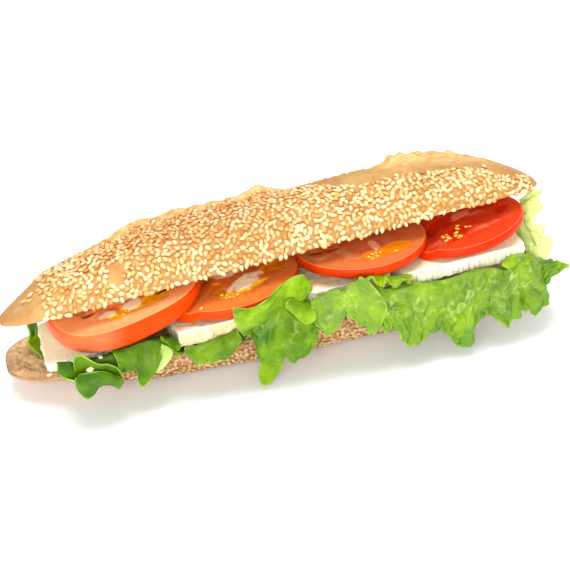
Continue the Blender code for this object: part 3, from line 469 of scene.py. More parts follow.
# Camera: azimuth, elevation and roll (degrees), distance (m), its focal length and the width
# of the picture in pixels, and how far it aims beside the target (m)
CAMERA_ANGLES = (-16.0, 27.0, 4.0)
CAMERA_DISTANCE = 0.600
FOCAL_PIXELS = 1240.0
PICTURE_PIXELS = 570.0
SENSOR = 36.0
AIM_RIGHT = 0.00339
AIM_DOWN = 0.00242


def srgb(colour):
    """Linear colour from the usual 0 to 255 values."""
    part = np.asarray(colour, float) / 255.0
    return np.where(part > 0.04045, ((part + 0.055) / 1.055) ** 2.4, part / 12.92)


def mix(first, second, share):
    """Blend two colours, each one or one per point, by a share per point."""
    share = np.clip(np.asarray(share, float), 0.0, 1.0)[..., None]
    return np.asarray(first) * (1.0 - share) + np.asarray(second) * share


def ease(value):
    """Ease from 0 to 1 as the value goes from 0 to 1."""
    value = np.clip(value, 0.0, 1.0)
    return value * value * (3.0 - 2.0 * value)


def soft_min(first, second, blend=0.8):
    """The smaller of two heights, rounded where they cross."""
    return -blend * np.logaddexp(-np.asarray(first) / blend, -np.asarray(second) / blend)


def at_points(points, scale, shift, function):
    """A function of a vector at points, scaled and then shifted along X."""
    flat = np.asarray(points, float).reshape(-1, 3)
    found = [function(Vector((x * scale + shift, y * scale, z * scale))) for x, y, z in flat]
    return np.array(found).reshape(np.shape(points)[:-1])


def bumps(points, length, octaves=3, shift=0.0):
    """Fractal noise at points, about -1 to 1, with features of a length in millimetres."""
    return at_points(points, 1.0 / length, shift,
                     lambda place: noise.fractal(place, 0.8, 2.0, octaves))


def plain_noise(points, scale):
    """Perlin noise at points, as in the solids."""
    return at_points(points, scale, 0.0, noise.noise)


def cells(points, length, shift=0.0):
    """Distance to the nearest cell point, 0 in a cell's middle, for pores."""
    return at_points(points, 1.0 / length, shift, lambda place: noise.voronoi(place)[0][0])


def cell_gap(points, length, shift=0.0):
    """0 on the borders between noise cells, growing into each cell, for blisters and veins."""

    def gap(place):
        near = noise.voronoi(place)[0]
        return near[1] - near[0]

    return at_points(points, 1.0 / length, shift, gap)


def xyz(x, y, z):
    """Points from their three parts."""
    return np.stack(np.broadcast_arrays(x, y, z), axis=-1)


def smooth_curves(lines, places):
    """Catmull-Rom curves through lines of points (line, point, xyz) at places from 0 to 1."""
    lines = np.asarray(lines, float)
    last = lines.shape[1] - 1
    padded = np.concatenate(
        [2 * lines[:, :1] - lines[:, 1:2], lines, 2 * lines[:, -1:] - lines[:, -2:-1]], axis=1
    )
    spot = np.clip(places, 0.0, 1.0) * last
    index = np.minimum(spot.astype(int), last - 1)
    t = (spot - index)[..., None]
    row = np.arange(len(lines))[:, None] if spot.ndim == 2 else slice(None)
    a, b, c, d = (padded[row, index + step] for step in range(4))
    return b + 0.5 * t * (c - a + t * (2 * a - 5 * b + 4 * c - d + t * (3 * (b - c) + d - a)))


def grid_faces(rows, columns, wrap):
    """Quads of a grid, closed along its columns where it wraps."""
    across = columns if wrap else columns - 1
    row, column = np.meshgrid(np.arange(rows - 1), np.arange(across), indexing="ij")
    after = (column + 1) % columns
    here = row * columns
    there = here + columns
    quads = np.stack([here + column, here + after, there + after, there + column], axis=-1)
    return quads.reshape(-1, 4)


def loft(rings):
    """Points and faces of a solid through closed rings (ring, point, xyz), fanned at its ends."""
    rows, columns, _ = rings.shape
    points = np.concatenate([rings.reshape(-1, 3), rings[:1].mean(1), rings[-1:].mean(1)])
    faces = grid_faces(rows, columns, True).tolist()
    for row, centre in ((0, rows * columns), (rows - 1, rows * columns + 1)):
        for column in range(columns):
            after = (column + 1) % columns
            faces.append((row * columns + column, row * columns + after, centre))
    return points, faces


def capped(values, rows, columns):
    """A value per ring point, extended to the two end points of a loft."""
    grid = values.reshape(rows, columns, -1)
    ends = np.stack([grid[0].mean(0), grid[-1].mean(0)])
    return np.concatenate([grid.reshape(rows * columns, -1), ends])


def piece(name, points, faces, finish, nodes, tint, recalc=False):
    """One mesh in the frame, with a colour per point, that stands for CAD nodes."""
    mesh = bpy.data.meshes.new(name)
    points = np.array(points, float)
    points[:, 2] = np.maximum(points[:, 2], 0.0)
    mesh.from_pydata((points * MM).tolist(), [], faces)
    if recalc:
        built = bmesh.new()
        built.from_mesh(mesh)
        bmesh.ops.recalc_face_normals(built, faces=built.faces)
        built.to_mesh(mesh)
        built.free()
    mesh.shade_smooth()
    layer = mesh.color_attributes.new("tint", "FLOAT_COLOR", "POINT")
    full = np.ones((len(points), 4), np.float32)
    full[:, :3] = tint
    layer.data.foreach_set("color", full.ravel())
    mesh.materials.append(finish)
    made = bpy.data.objects.new(name, mesh)
    bpy.context.scene.collection.objects.link(made)
    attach(made, "root")
    if nodes:
        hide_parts(*nodes)


def feed(tree, socket, value):
    """Set an input, or link another node's output to it."""
    if isinstance(value, bpy.types.NodeSocket):
        tree.links.new(value, socket)
    else:
        socket.default_value = value


def add_node(tree, kind, **inputs):
    """A new shader node with its inputs fed."""
    made = tree.nodes.new("ShaderNode" + kind)
    for name, value in inputs.items():
        feed(tree, made.inputs[name.replace("_", " ")], value)
    return made


def noise_node(tree, place, length, **inputs):
    """Noise with features of a length in millimetres."""
    made = add_node(tree, "TexNoise", Vector=place, Scale=1.0 / (length * MM), **inputs)
    return made.outputs["Fac"]


def range_node(tree, value, **inputs):
    """A value moved to another range."""
    return add_node(tree, "MapRange", Value=value, **inputs).outputs["Result"]


def blend_node(tree, blend, share, first, second):
    """Two colours blended."""
    made = tree.nodes.new("ShaderNodeMix")
    made.data_type = "RGBA"
    made.blend_type = blend
    for index, value in ((0, share), (6, first), (7, second)):
        feed(tree, made.inputs[index], value)
    return made.outputs[2]


def finish(name, roughness, grain, grain_size, bump, bump_size, coat=0.0, subsurface=0.0,
           radius=(1.0, 0.4, 0.2), speck=None, specular=0.5):
    """A material that reads the tint, varies it with noise and has fine bump.

    grain is how strongly noise of grain_size (mm) lightens and darkens the tint; bump is
    the height (mm) of a relief of bump_size (mm); speck is (colour, size, amount).
    """
    made = bpy.data.materials.new(name)
    made.use_nodes = True
    tree = made.node_tree
    place = tree.nodes.new("ShaderNodeTexCoord").outputs["Object"]
    tint = tree.nodes.new("ShaderNodeVertexColor")
    tint.layer_name = "tint"
    cloud = noise_node(tree, place, grain_size, Detail=4.0, Roughness=0.6)
    spread = range_node(tree, cloud, From_Min=0.3, From_Max=0.7, To_Min=1.0 - grain,
                        To_Max=1.0 + 0.6 * grain)
    colour = blend_node(tree, "MULTIPLY", 1.0, tint.outputs["Color"], spread)
    if speck:
        speck_colour, speck_size, amount = speck
        dots = add_node(tree, "TexVoronoi", Vector=place, Scale=1.0 / (speck_size * MM))
        edge = range_node(tree, dots.outputs["Distance"], From_Min=amount, From_Max=amount * 0.5)
        rare = noise_node(tree, place, speck_size * 1.7)
        both = tree.nodes.new("ShaderNodeMath")
        both.operation = "MULTIPLY"
        feed(tree, both.inputs[0], edge)
        feed(tree, both.inputs[1], range_node(tree, rare, From_Min=0.52, From_Max=0.6))
        colour = blend_node(tree, "MIX", both.outputs["Value"], colour,
                            (*srgb(speck_colour), 1.0))
    relief = noise_node(tree, place, bump_size, Detail=5.0, Roughness=0.6)
    raised = add_node(tree, "Bump", Strength=1.0, Distance=bump * MM, Height=relief)
    shine = range_node(tree, relief, To_Min=max(0.03, roughness - 0.08),
                       To_Max=min(1.0, roughness + 0.08))
    shader = tree.nodes["Principled BSDF"]
    for socket, value in (
        ("Base Color", colour), ("Normal", raised.outputs["Normal"]), ("Roughness", shine),
        ("Specular IOR Level", specular), ("Coat Weight", coat), ("Coat Roughness", 0.15),
        ("Subsurface Weight", subsurface), ("Subsurface Radius", radius),
        ("Subsurface Scale", 0.0015),
    ):
        feed(tree, shader.inputs[socket], value)
    return made


def end_round(distance, radius, power):
    """0 at a tip, 1 from the given distance on, along a rounded curve."""
    reach = np.maximum(0.0, 1.0 - distance / radius)
    return (1.0 - reach**power) ** (1.0 / power)


def left_shift(x):
    """How far the left end is drawn in."""
    return LEFT_SHIFT * ease((-112.0 - x) / 23.0)


def ring_places():
    """Places along X of the sections, closer together towards the tips."""
    t = np.linspace(-1.0, 1.0, RINGS)
    return LOAF_END * (t + RING_CROWDING * np.sin(math.pi * t))


def crust_angles():
    """Angles round a section's crust, closer together at the crest."""
    turn = np.linspace(0.0, 1.0, CRUST_STEPS + 1)
    return math.pi * turn + CREST_CROWDING * np.sin(2.0 * math.pi * turn)


def arc(angle, half_width, height, power):
    """Points of sections' crusts, from the front edge (0) over the crest to the back (pi)."""
    c = np.cos(angle)
    s = np.maximum(np.sin(angle), 0.0)
    y = -np.sign(c) * np.abs(c) ** (2.0 / power) * half_width
    return y, s ** (2.0 / power) * height


def bottom_cut(x):
    """Height of the bottom bread's cut face."""
    return BOTTOM_CUT_HEIGHT + BOTTOM_CUT_SLOPE * x


def tip_droop(x):
    """How far an end of the top bread hangs below the plane of its cut face."""
    past = np.maximum(0.0, np.abs(x) - TIP_DROOP_START)
    return TIP_DROOP * (past / (LOAF_END - TIP_DROOP_START)) ** 2


def top_cut(x, y):
    """Height of the top bread's cut face over a place in plan."""
    return TOP_CUT_HEIGHT + TOP_CUT_RISE_X * x - TOP_CUT_FALL_Y * y - tip_droop(x)


def score_shape(x, angle, crest):
    """Relief of the scores, and how much each point belongs to an ear."""
    relief = np.zeros(np.broadcast(x, angle).shape)
    ear = np.zeros_like(relief)
    for centre, half_length, lift in SCORES:
        along = (x - centre) / half_length
        fade = np.maximum(1.0 - along * along, 0.0) ** 1.5
        across = (angle - 1.70 - 0.14 * along) * crest
        relief += fade * lift * np.exp(-((across / 3.2) ** 2))
        relief -= fade * lift * 0.45 * np.exp(-(((across - 6.5) / 4.0) ** 2))
        ear = np.maximum(ear, np.minimum(1.0, 2.0 * fade) * np.exp(-((across / 6.5) ** 2)))
    return relief, ear


def bottom_rings():
    """Fine sections of the bottom bread, with the angle of each point (-1 on the cut face)."""
    x = ring_places()[:, None]
    angle = crust_angles()[None, :]
    tip = LOAF_END - np.abs(x)
    narrow = 6.5 * ease((10.0 - x) / 120.0) + 2.5 * ease((x - 20.0) / 100.0)
    centre = 3.2 * ease((-40.0 - x) / 80.0)
    half_width = 3.0 + (LOAF_HALF_WIDTH - 3.0 - narrow) * end_round(tip, 26.0, 2.2)
    cut = bottom_cut(x)
    full = BOTTOM_DEPTH + BOTTOM_CUT_SLOPE * x
    share = ease((tip - 6.0) / BOTTOM_TIP_RISE)
    depth = BOTTOM_TIP_DEPTH + (full - BOTTOM_TIP_DEPTH) * share
    y, down = arc(angle, half_width, depth, 2.4)
    spot = xyz(x, y, down + 60.0)
    bump = 1.1 * plain_noise(spot, 0.045) * np.sin(angle)
    fine = 0.22 * bumps(spot, 3.2, 4) * np.sin(angle)
    y = y - (bump + fine) * np.cos(angle)
    rim = 1.9 * ease((-84.0 - x) / 24.0)
    z = cut - down - rim * np.exp(-((down / 2.6) ** 2)) - (bump + fine) * np.sin(angle)
    z = np.maximum(z, 0.0)
    y = y * (1.0 - 0.10 * ease((5.0 - z) / 5.0))
    crust = xyz(x, centre + y, z)
    across = np.linspace(1.0, -1.0, CRUMB_STEPS + 1)[None, 1:-1]
    y = half_width * across
    spot = xyz(x, y, 9.0)
    crumb = 0.4 * plain_noise(spot, 0.11) - 0.3 + 0.35 * bumps(spot, 2.4, 4)
    crumb -= 1.1 * np.maximum(0.0, 0.34 - cells(spot, 3.6)) * (1.0 - np.abs(across) ** 6)
    inside = np.minimum(half_width * (1.0 - np.abs(across)), 0.9 * (tip + 0.0 * across))
    crumb += rim * (0.7 * bumps(spot, 7.0, 3, 2.0) * (1.0 - np.exp(-((inside / 3.0) ** 2)))
                    - np.exp(-((inside / 2.6) ** 2)))
    cut_face = xyz(x, centre + y, cut + crumb)
    rings = np.concatenate([crust, cut_face], axis=1)
    rings[:, :, 0] += left_shift(rings[:, :, 0])
    return rings, angle


def top_rings():
    """Fine sections of the top bread, their angles and their ear share."""
    x = ring_places()[:, None]
    angle = crust_angles()[None, :]
    tip = (LOAF_END - np.abs(x)) * np.where(x > 0.0, 1.1, 1.0)
    half_width = 3.0 + (LOAF_HALF_WIDTH - 3.0) * end_round(tip, 42.0, 2.0)
    crest = TOP_TIP_CREST + (TOP_CREST - TOP_TIP_CREST) * end_round(tip, 84.0, 1.42)
    left = ease((-107.0 - x) / 28.0)
    crest = crest * (1.0 - 0.30 * left)
    y, up = arc(angle, half_width, crest, 2.15)
    y = np.where(y > 0.0, y * (1.0 - 0.45 * left), y)
    spot = xyz(x, y, up)
    relief, ear = score_shape(x, angle, crest)
    bump = relief * crest / TOP_CREST + 1.6 * plain_noise(spot, 0.045) * np.sin(angle)
    flake = 1.0 - 2.0 * np.abs(bumps(spot * (0.45, 1.0, 1.0), 4.0, 4, 7.0))
    fine = 0.2 * bumps(spot, 3.0, 4) * np.sin(angle)
    fine = fine + (0.9 * flake + 0.5 * bumps(spot, 8.0, 2, 15.0)) * ear
    bump = bump + fine
    for lump_x, lump_angle, radius, height in LUMPS:
        away = np.hypot(x - lump_x, (angle - lump_angle) * crest)
        bump = bump + height * np.exp(-((away / radius) ** 2))
    y = y - bump * np.cos(angle)
    up = up + bump * np.sin(angle)
    crust = xyz(x, y, up)
    across = np.linspace(1.0, -1.0, CRUMB_STEPS + 1)[None, 1:-1]
    y = half_width * across
    y = np.where(y > 0.0, y * (1.0 - 0.45 * left), y)
    spot = xyz(x, y, 4.0)
    crumb = 0.4 + 0.5 * plain_noise(spot, 0.11) + 0.3 * bumps(spot, 2.4, 4)
    crumb += 1.0 * np.maximum(0.0, 0.34 - cells(spot, 3.6)) * (1.0 - np.abs(across) ** 6)
    flat = np.concatenate([crust, xyz(x, y, crumb)], axis=1)
    place = np.array(
        Matrix.Translation((0.0, 0.0, TOP_CUT_HEIGHT))
        @ Matrix.Rotation(-math.atan(TOP_CUT_RISE_X), 4, "Y")
        @ Matrix.Rotation(-math.atan(TOP_CUT_FALL_Y), 4, "X")
    )
    rings = flat @ place[:3, :3].T + place[:3, 3]
    rings[:, :, 2] -= tip_droop(flat[:, :, 0])
    rings[:, :, 0] += left_shift(rings[:, :, 0])
    return rings, angle, ear, flake


def crust_tint(rings, size, toast, pale):
    """Baked colour of a crust, browner where toasted and paler at the cut edge."""
    spot = rings[:, :size]
    cloud = bumps(spot, 16.0, 3, 3.0)
    fine = bumps(spot, 4.0, 3, 9.0)
    tint = mix(srgb((208, 164, 98)), srgb((186, 134, 72)), 0.4 + 0.5 * cloud + 0.3 * fine)
    tint = mix(tint, srgb((182, 102, 36)), toast)
    return mix(tint, srgb((188, 156, 110)), pale)


def seed_shape():
    """Points and faces of one sesame seed lying flat, a drop pointed at +X."""
    segments = 7
    rows = ((0.07, 0.5), (0.34, 1.0), (0.66, 0.84), (0.92, 0.34))
    points = [(-0.5, 0.0, 0.0)]
    for row, radius in rows:
        for step in range(segments):
            turn = 2.0 * math.pi * step / segments
            points.append((row - 0.5, 0.5 * radius * math.cos(turn), 0.5 * radius * math.sin(turn)))
    points.append((0.5, 0.0, 0.0))
    faces = []
    for step in range(segments):
        after = (step + 1) % segments
        faces.append((0, 1 + after, 1 + step))
        for row in range(len(rows) - 1):
            here = 1 + row * segments
            there = here + segments
            faces.append((here + step, here + after, there + after, there + step))
        last = 1 + (len(rows) - 1) * segments
        faces.append((last + step, last + after, len(points) - 1))
    return np.array(points) * (SEED_LENGTH, SEED_WIDTH, SEED_THICKNESS), faces


def seeds_piece(name, spots, normals, tones, finish_, draw, scale=1.0, tilt=0.2, sink=0.18):
    """Many seeds as one mesh, each lying on its normal, turned at random."""
    shape, faces = seed_shape()
    count = len(spots)
    turn = draw.uniform(0.0, 2.0 * math.pi, count)
    normals = normals + draw.normal(0.0, tilt, (count, 3))
    normals /= np.linalg.norm(normals, axis=1, keepdims=True)
    helper = np.where(np.abs(normals[:, :1]) < 0.8, (1.0, 0.0, 0.0), (0.0, 1.0, 0.0))
    side = np.cross(helper, normals)
    side /= np.linalg.norm(side, axis=1, keepdims=True)
    ahead = np.cross(normals, side)
    along = np.cos(turn)[:, None] * side + np.sin(turn)[:, None] * ahead
    across = np.cross(normals, along)
    size = np.tile(scale * draw.uniform(0.82, 1.1, (count, 1)), 3)
    size[:, 1] *= draw.uniform(0.88, 1.1, count)
    sized = shape[None] * size[:, None]
    points = (
        spots[:, None]
        + sized[:, :, :1] * along[:, None]
        + sized[:, :, 1:2] * across[:, None]
        + (sized[:, :, 2:] + (0.5 - sink) * SEED_THICKNESS * scale) * normals[:, None]
    )
    everything = [
        tuple(index + first for index in face)
        for first in range(0, count * len(shape), len(shape)) for face in faces
    ]
    # Each seed is darker towards its ends, and its underside and rim get painted shade.
    end = np.clip(np.abs(shape[:, 0] / SEED_LENGTH + 0.05) * 2.0, 0.0, 1.0) ** 3
    low = np.clip(0.25 - 1.6 * shape[:, 2] / SEED_THICKNESS, 0.0, 1.0)
    edge = np.maximum(0.7 * end, low)
    tint = mix(tones[:, None], tones[:, None] * (0.78, 0.52, 0.26), edge[None, :])
    piece(name, points.reshape(-1, 3), everything, finish_, (), tint.reshape(-1, 3))


def quad_corners(points, faces):
    """The quads of a mesh and the points at their four corners."""
    quads = np.array([face for face in faces if len(face) == 4])
    return quads, [points[quads[:, k]] for k in range(4)]


def scatter(points, faces, accept, spacing, tries, loose, draw):
    """Places and normals on a surface, at least a spacing apart, where the test accepts them.

    The loose ones are added to them.
    """
    quads, (a, b, c, d) = quad_corners(points, faces)
    normal = np.cross(c - a, d - b)
    area = np.linalg.norm(normal, axis=1)
    normal /= np.maximum(area, 1e-9)[:, None]
    chosen = draw.choice(len(quads), tries, p=area / area.sum())
    u, v = draw.uniform(size=(2, tries, 1))
    near_side = a[chosen] * (1 - u) + b[chosen] * u
    far_side = d[chosen] * (1 - u) + c[chosen] * u
    spot = near_side * (1 - v) + far_side * v
    keep = accept(spot, normal[chosen], quads[chosen, 0])
    taken = {}
    found = []
    for number in np.flatnonzero(keep):
        place = spot[number]
        cell = tuple((place // spacing).astype(int))
        near = (
            taken.get((cell[0] + i, cell[1] + j, cell[2] + k), ())
            for i in (-1, 0, 1) for j in (-1, 0, 1) for k in (-1, 0, 1)
        )
        if any(np.sum((place - other) ** 2) < spacing**2 for group in near for other in group):
            continue
        taken.setdefault(cell, []).append(place)
        found.append(number)
    loose = np.array(loose)
    return (np.concatenate([spot[found], loose[:, :3]]),
            np.concatenate([normal[chosen][found], loose[:, 3:]]))


def outward(points, faces):
    """The faces turned so that a closed form's volume is positive."""
    _, (a, b, c, d) = quad_corners(points, faces)
    first, second = (np.einsum("ij,ij->i", a, np.cross(p, q)).sum() for p, q in ((b, c), (c, d)))
    return faces if first + second > 0 else [tuple(face[::-1]) for face in faces]


def loft_piece(node, rings, finish_, tint):
    """The fine piece of a CAD node, lofted through rings. Returns its points and faces."""
    rows, columns, _ = rings.shape
    points, faces = loft(rings)
    faces = outward(points, faces)
    piece(node + "_fine", points, faces, finish_, [node], capped(tint, rows, columns))
    return points, faces


def seed_tones(count, draw, ivory, golden, toasted, warm):
    """Colours of seeds from ivory over golden to toasted."""
    share = draw.beta(1.3, 1.9, count)
    tones = mix(srgb(ivory), srgb(golden), share * 1.4)
    return mix(tones, srgb(toasted), np.maximum(0.0, share - 0.72) * 2.5 + warm)


def point_angles(rings, angle):
    """Crust angle of each point of a bread, -1 off its crust."""
    rows, columns, _ = rings.shape
    off = np.full(columns - angle.shape[1], -1.0)
    return np.broadcast_to(np.concatenate([angle[0], off]), (rows, columns)).ravel()


def make_bottom_bread(crust, seed, draw):
    """Bottom half of the loaf, its crumb and its seeds."""
    rings, angle = bottom_rings()
    size = angle.shape[1]
    spot = rings[:, :size]
    x = spot[..., 0]
    edge = np.minimum(angle, math.pi - angle) * 20.0
    pale = 0.6 * np.exp(-edge / 2.5)
    toast = 0.35 * ease((spot[..., 2] < 3.0) * 1.0) + 0.4 * ease((x + 104.0) / 12.0)
    # Darker brown towards the floor: partly the loaf's own browned base, partly painted shade where
    # it meets the floor.
    base_browning_and_shade = ease((4.0 - spot[..., 2]) / 3.5)
    patch = ease(1.4 - np.hypot((x + 106.0) / 9.0, (angle - 0.42) / 0.3) + bumps(spot, 3.0, 3))
    left = ease((-98.0 - x) / 10.0)
    outer = crust_tint(rings, size, toast, pale)
    outer = mix(outer, srgb((186, 140, 104)), 0.6 * left)
    outer = mix(outer, srgb((210, 142, 76)), 0.7 * patch)
    outer = mix(outer, srgb((104, 68, 36)), 0.65 * base_browning_and_shade)
    crumb_spot = rings[:, size:]
    grain = bumps(crumb_spot, 2.0, 4, 5.0)
    crumb = mix(srgb((240, 206, 152)), srgb((182, 134, 84)), 0.4 + 0.6 * grain)
    # Painted shade: dark spots on the cut face stand for the shade inside its pores.
    pores = cells(crumb_spot, 3.0, 2.0)
    crumb = mix(crumb, srgb((112, 78, 52)), np.maximum(0.0, 0.3 - pores) * 2.6)
    border = 1.0 - np.abs(np.linspace(1.0, -1.0, rings.shape[1] - size + 2)[None, 1:-1])
    border = np.minimum(border * 26.0, crumb_spot[..., 0] + 133.0)
    crumb = mix(crumb, srgb((190, 144, 104)), 0.9 * np.exp(-((border / 4.0) ** 2)))
    points, faces = loft_piece("bottom_bread", rings, crust,
                               np.concatenate([outer, crumb], axis=1))
    angles = point_angles(rings, angle)

    def wanted(spot, normal, corner):
        a = angles[corner]
        side = np.minimum(a, math.pi - a)
        band = (a > -0.5) & (normal[:, 2] < 0.6) & (side < 1.15) & (spot[:, 2] > 0.8)
        return band & (spot[:, 0] > -96.0) & (spot[:, 0] < 124.0)

    spots, normals = scatter(points, faces, wanted, BOTTOM_SPACING, BOTTOM_TRIES, BOTTOM_LOOSE,
                             draw)
    # Painted shade: the bottom seeds are toned darker than the top ones for the shaded lower side
    # of the loaf, and darker still towards the floor.
    tones = seed_tones(len(spots), draw, (218, 186, 140), (190, 150, 102), (156, 106, 60), 0.05)
    tones = mix(tones, srgb((128, 92, 56)), 0.65 * ease((5.0 - spots[:, 2]) / 4.0))
    tones[-len(BOTTOM_LOOSE):] = srgb((250, 228, 180))
    seeds_piece("bottom_seeds", spots, normals, tones, seed, draw)


def make_top_bread(crust, seed, draw):
    """Top half of the loaf with its scored ear and its seeds."""
    rings, angle, ear, flake = top_rings()
    size = angle.shape[1]
    edge = np.minimum(angle, math.pi - angle) * 18.0
    pale = 0.55 * np.exp(-edge / 2.5)
    ridge = ease((flake - 0.55) / 0.4)
    toast = 0.35 * ease(0.5 + bumps(rings[:, :size], 24.0, 2, 1.0)) * (1.0 - ear)
    outer = mix(crust_tint(rings, size, toast, pale), srgb((236, 198, 132)), 0.85 * ear)
    outer = mix(outer, srgb((206, 138, 58)), 0.9 * ear * ridge)
    grain = bumps(rings[:, size:], 2.0, 4, 5.0)
    crumb = mix(srgb((240, 218, 172)), srgb((206, 168, 116)), 0.4 + 0.6 * grain)
    points, faces = loft_piece("top_bread", rings, crust,
                               np.concatenate([outer, crumb], axis=1))
    angles = point_angles(rings, angle)
    ears = np.zeros(rings.shape[:2])
    ears[:, :size] = ear
    ears = ears.ravel()

    def wanted(spot, normal, corner):
        a = angles[corner]
        x = spot[:, 0]
        crest_limit = 1.62 - 0.62 * ease((x - 5.0) / 40.0) - 0.34 * ease((x - 94.0) / 18.0)
        side = (a > -0.5) & ((a < crest_limit) | (a > 2.0)) & (normal[:, 2] > -0.6)
        reach = (x > -114.0 + 16.0 * np.abs(noise_line(spot))) & (x < 124.0)
        bare = np.hypot(x + 80.5, spot[:, 1] + 20.5) < 4.6 + 3.0 * noise_line(spot)
        return side & reach & (ears[corner] < 0.8) & ~(bare & (spot[:, 1] < 0.0))

    spots, normals = scatter(points, faces, wanted, TOP_SPACING, TOP_TRIES, TOP_LOOSE, draw)
    warm = 0.35 * ease((spots[:, 2] - 58.0) / 14.0) * ease((30.0 - spots[:, 0]) / 60.0)
    tones = seed_tones(len(spots), draw, (246, 226, 178), (224, 170, 92), (192, 108, 32), warm)
    seeds_piece("top_seeds", spots, normals, tones, seed, draw)


def make_breads():
    """Both halves of the loaf and their seeds."""
    crust = finish("sesame_crust", 0.62, 0.16, 5.0, 0.35, 0.9, subsurface=0.08,
                   speck=((150, 92, 48), 3.2, 0.16), specular=0.35)
    seed = finish("sesame_seed", 0.42, 0.10, 1.4, 0.05, 0.5, subsurface=0.15)
    draw = np.random.default_rng(LOAF_DRAW)
    make_bottom_bread(crust, seed, draw)
    make_top_bread(crust, seed, draw)


def noise_line(spots):
    """Slow unevenness along X, for ragged borders."""
    flat = np.asarray(spots).copy()
    flat[:, 0] = 0.0
    return bumps(flat, 6.0, 2, 4.0)


def own_axes(slice_, x, y):
    """Places along and across a slice, from its centre."""
    centre_x, centre_y, _ = slice_["centre"]
    c, s = math.cos(slice_["turn"]), math.sin(slice_["turn"])
    return (x - centre_x) * c + (y - centre_y) * s, (y - centre_y) * c - (x - centre_x) * s


def in_plan(slice_, along, across):
    """The places in plan that lie so far along and across a slice."""
    centre_x, centre_y, _ = slice_["centre"]
    c, s = math.cos(slice_["turn"]), math.sin(slice_["turn"])
    return centre_x + along * c - across * s, centre_y + along * s + across * c


def rim_share(slice_, x, y):
    """How far out a place lies in a slice: 0 at its centre, 1 on its rim."""
    along, across = own_axes(slice_, x, y)
    long_half, short_half = slice_["half"]
    power = slice_["power"]
    share = np.abs(along / long_half) ** power + np.abs(across / short_half) ** power
    return share ** (1.0 / power)


def tomato_depth(name, x):
    """Thickness of a slice, thinner towards its ends."""
    slice_ = TOMATOES[name]
    away = np.minimum(np.abs(x - slice_["centre"][0]) / slice_["half"][0], 1.0)
    return slice_["thick"] + (slice_["thin"] - slice_["thick"]) * away**2


def tomato_face(name, x, y):
    """Height of a slice's upper face: its own plane, pressed by what lies on it."""
    slice_ = TOMATOES[name]
    centre_x, _, centre_z = slice_["centre"]
    height = centre_z + slice_["slope"] * (x - centre_x)
    if name in PRESSED_BY:
        over = PRESSED_BY[name]
        underside = tomato_face(over, x, y) - tomato_depth(over, x)
        covered = ease((PRESS_START - rim_share(TOMATOES[over], x, y)) / PRESS_FADE)
        height = height + covered * (soft_min(height, underside - GAP) - height)
    return soft_min(height, top_cut(x, y) - GAP)


def tomato_place(slice_, angle, share, out):
    """Places in plan: a share of the way to the rim, then moved outwards."""
    power = 2.0 / slice_["power"]
    c = np.cos(angle)
    s = np.sin(angle)
    x = np.sign(c) * np.abs(c) ** power * (slice_["half"][0] * share + out)
    y = np.sign(s) * np.abs(s) ** power * (slice_["half"][1] * share + out)
    return in_plan(slice_, x, y)


def feature_masks(name, x, y, spot):
    """Share of each kind of feature at places on a slice."""
    along, across = own_axes(TOMATOES[name], x, y)
    ragged = 0.3 * bumps(spot, 4.5, 4, 11.0)
    masks = {kind: np.zeros_like(x) for kind in ("gel", "pale", "red", "core", "hollow")}
    for kind, a, b, half_a, half_b, angle in FEATURES[name]:
        c, s = math.cos(math.radians(angle)), math.sin(math.radians(angle))
        u = ((along - a) * c + (across - b) * s) / half_a
        v = ((across - b) * c - (along - a) * s) / half_b
        away = np.hypot(u, v) + ragged
        fade = 1.0 if kind == "pale" else 0.3
        masks[kind] = np.maximum(masks[kind], ease((1.15 - away) / fade))
    # Pale marks are weaker on tomato_4, where they are painted highlights.
    masks["pale"] *= 0.55 if name == "tomato_4" else 0.9
    return masks


def tomato_tint(name, x, spot, angle, share, depth, face, hollow, mask, rings):
    """Flesh with its fibres, gel and core, the rim line and the skin of a slice."""
    flesh, skin, gel, core = (srgb(colour) for colour in TOMATO_TINTS[name])
    fibre = bumps(xyz(angle * 9.0, share * 2.2, 0.0), 1.0, 3, 21.0)
    cloud = bumps(spot, 5.0, 3, 14.0)
    deep = ease((0.80 - share) / 0.2) * ease(0.5 - fibre - cloud)
    on_face = depth < 0.03
    on_skin = depth < 0.97
    tint = mix(flesh, flesh * (1.0, 1.3, 1.45), 0.35 + 0.5 * fibre + 0.4 * cloud)
    for colour, amount in (
        (flesh * (0.85, 0.5, 0.4), 0.5 * deep),
        (mix(gel, gel * (0.95, 0.6, 0.4), 0.3 + 0.9 * cloud), mask["gel"] * face),
        (mix(flesh * (0.86, 0.42, 0.2), gel, 0.25 + 0.3 * cloud), mask["red"] * face),
        (mix(flesh, srgb((252, 200, 160)), 0.5 + 0.4 * cloud), 0.5 * mask["pale"] * face),
        (mix(core, flesh, 0.05 - 0.5 * cloud), mask["core"] * face),
        # Painted shade: the hollows are dark red-brown for the shade in these recesses.
        (srgb((92, 26, 14)), hollow),
        (flesh * (1.0, 0.9, 0.8), 0.4 * (ease((share - 0.90) / 0.06) * on_face)),
        (srgb((246, 150, 100)), 0.3 * (ease((share - 0.985) / 0.01) * on_face)),
        (skin * (1.0 + 0.08 * bumps(rings, 12.0, 2)[..., None]),
         ease((depth - 0.02) / 0.03) * on_skin * np.ones_like(x)),
    ):
        tint = mix(tint, colour, amount)
    # Painted reflection: the skin at the left end of slice 1 is paler salmon, as if lit from the
    # left.
    if name == "tomato_1":
        left = ease((-80.0 - x) / 14.0) * (depth > 0.03) * on_skin
        tint = mix(tint, srgb((232, 118, 70)), 0.8 * left)
    return tint


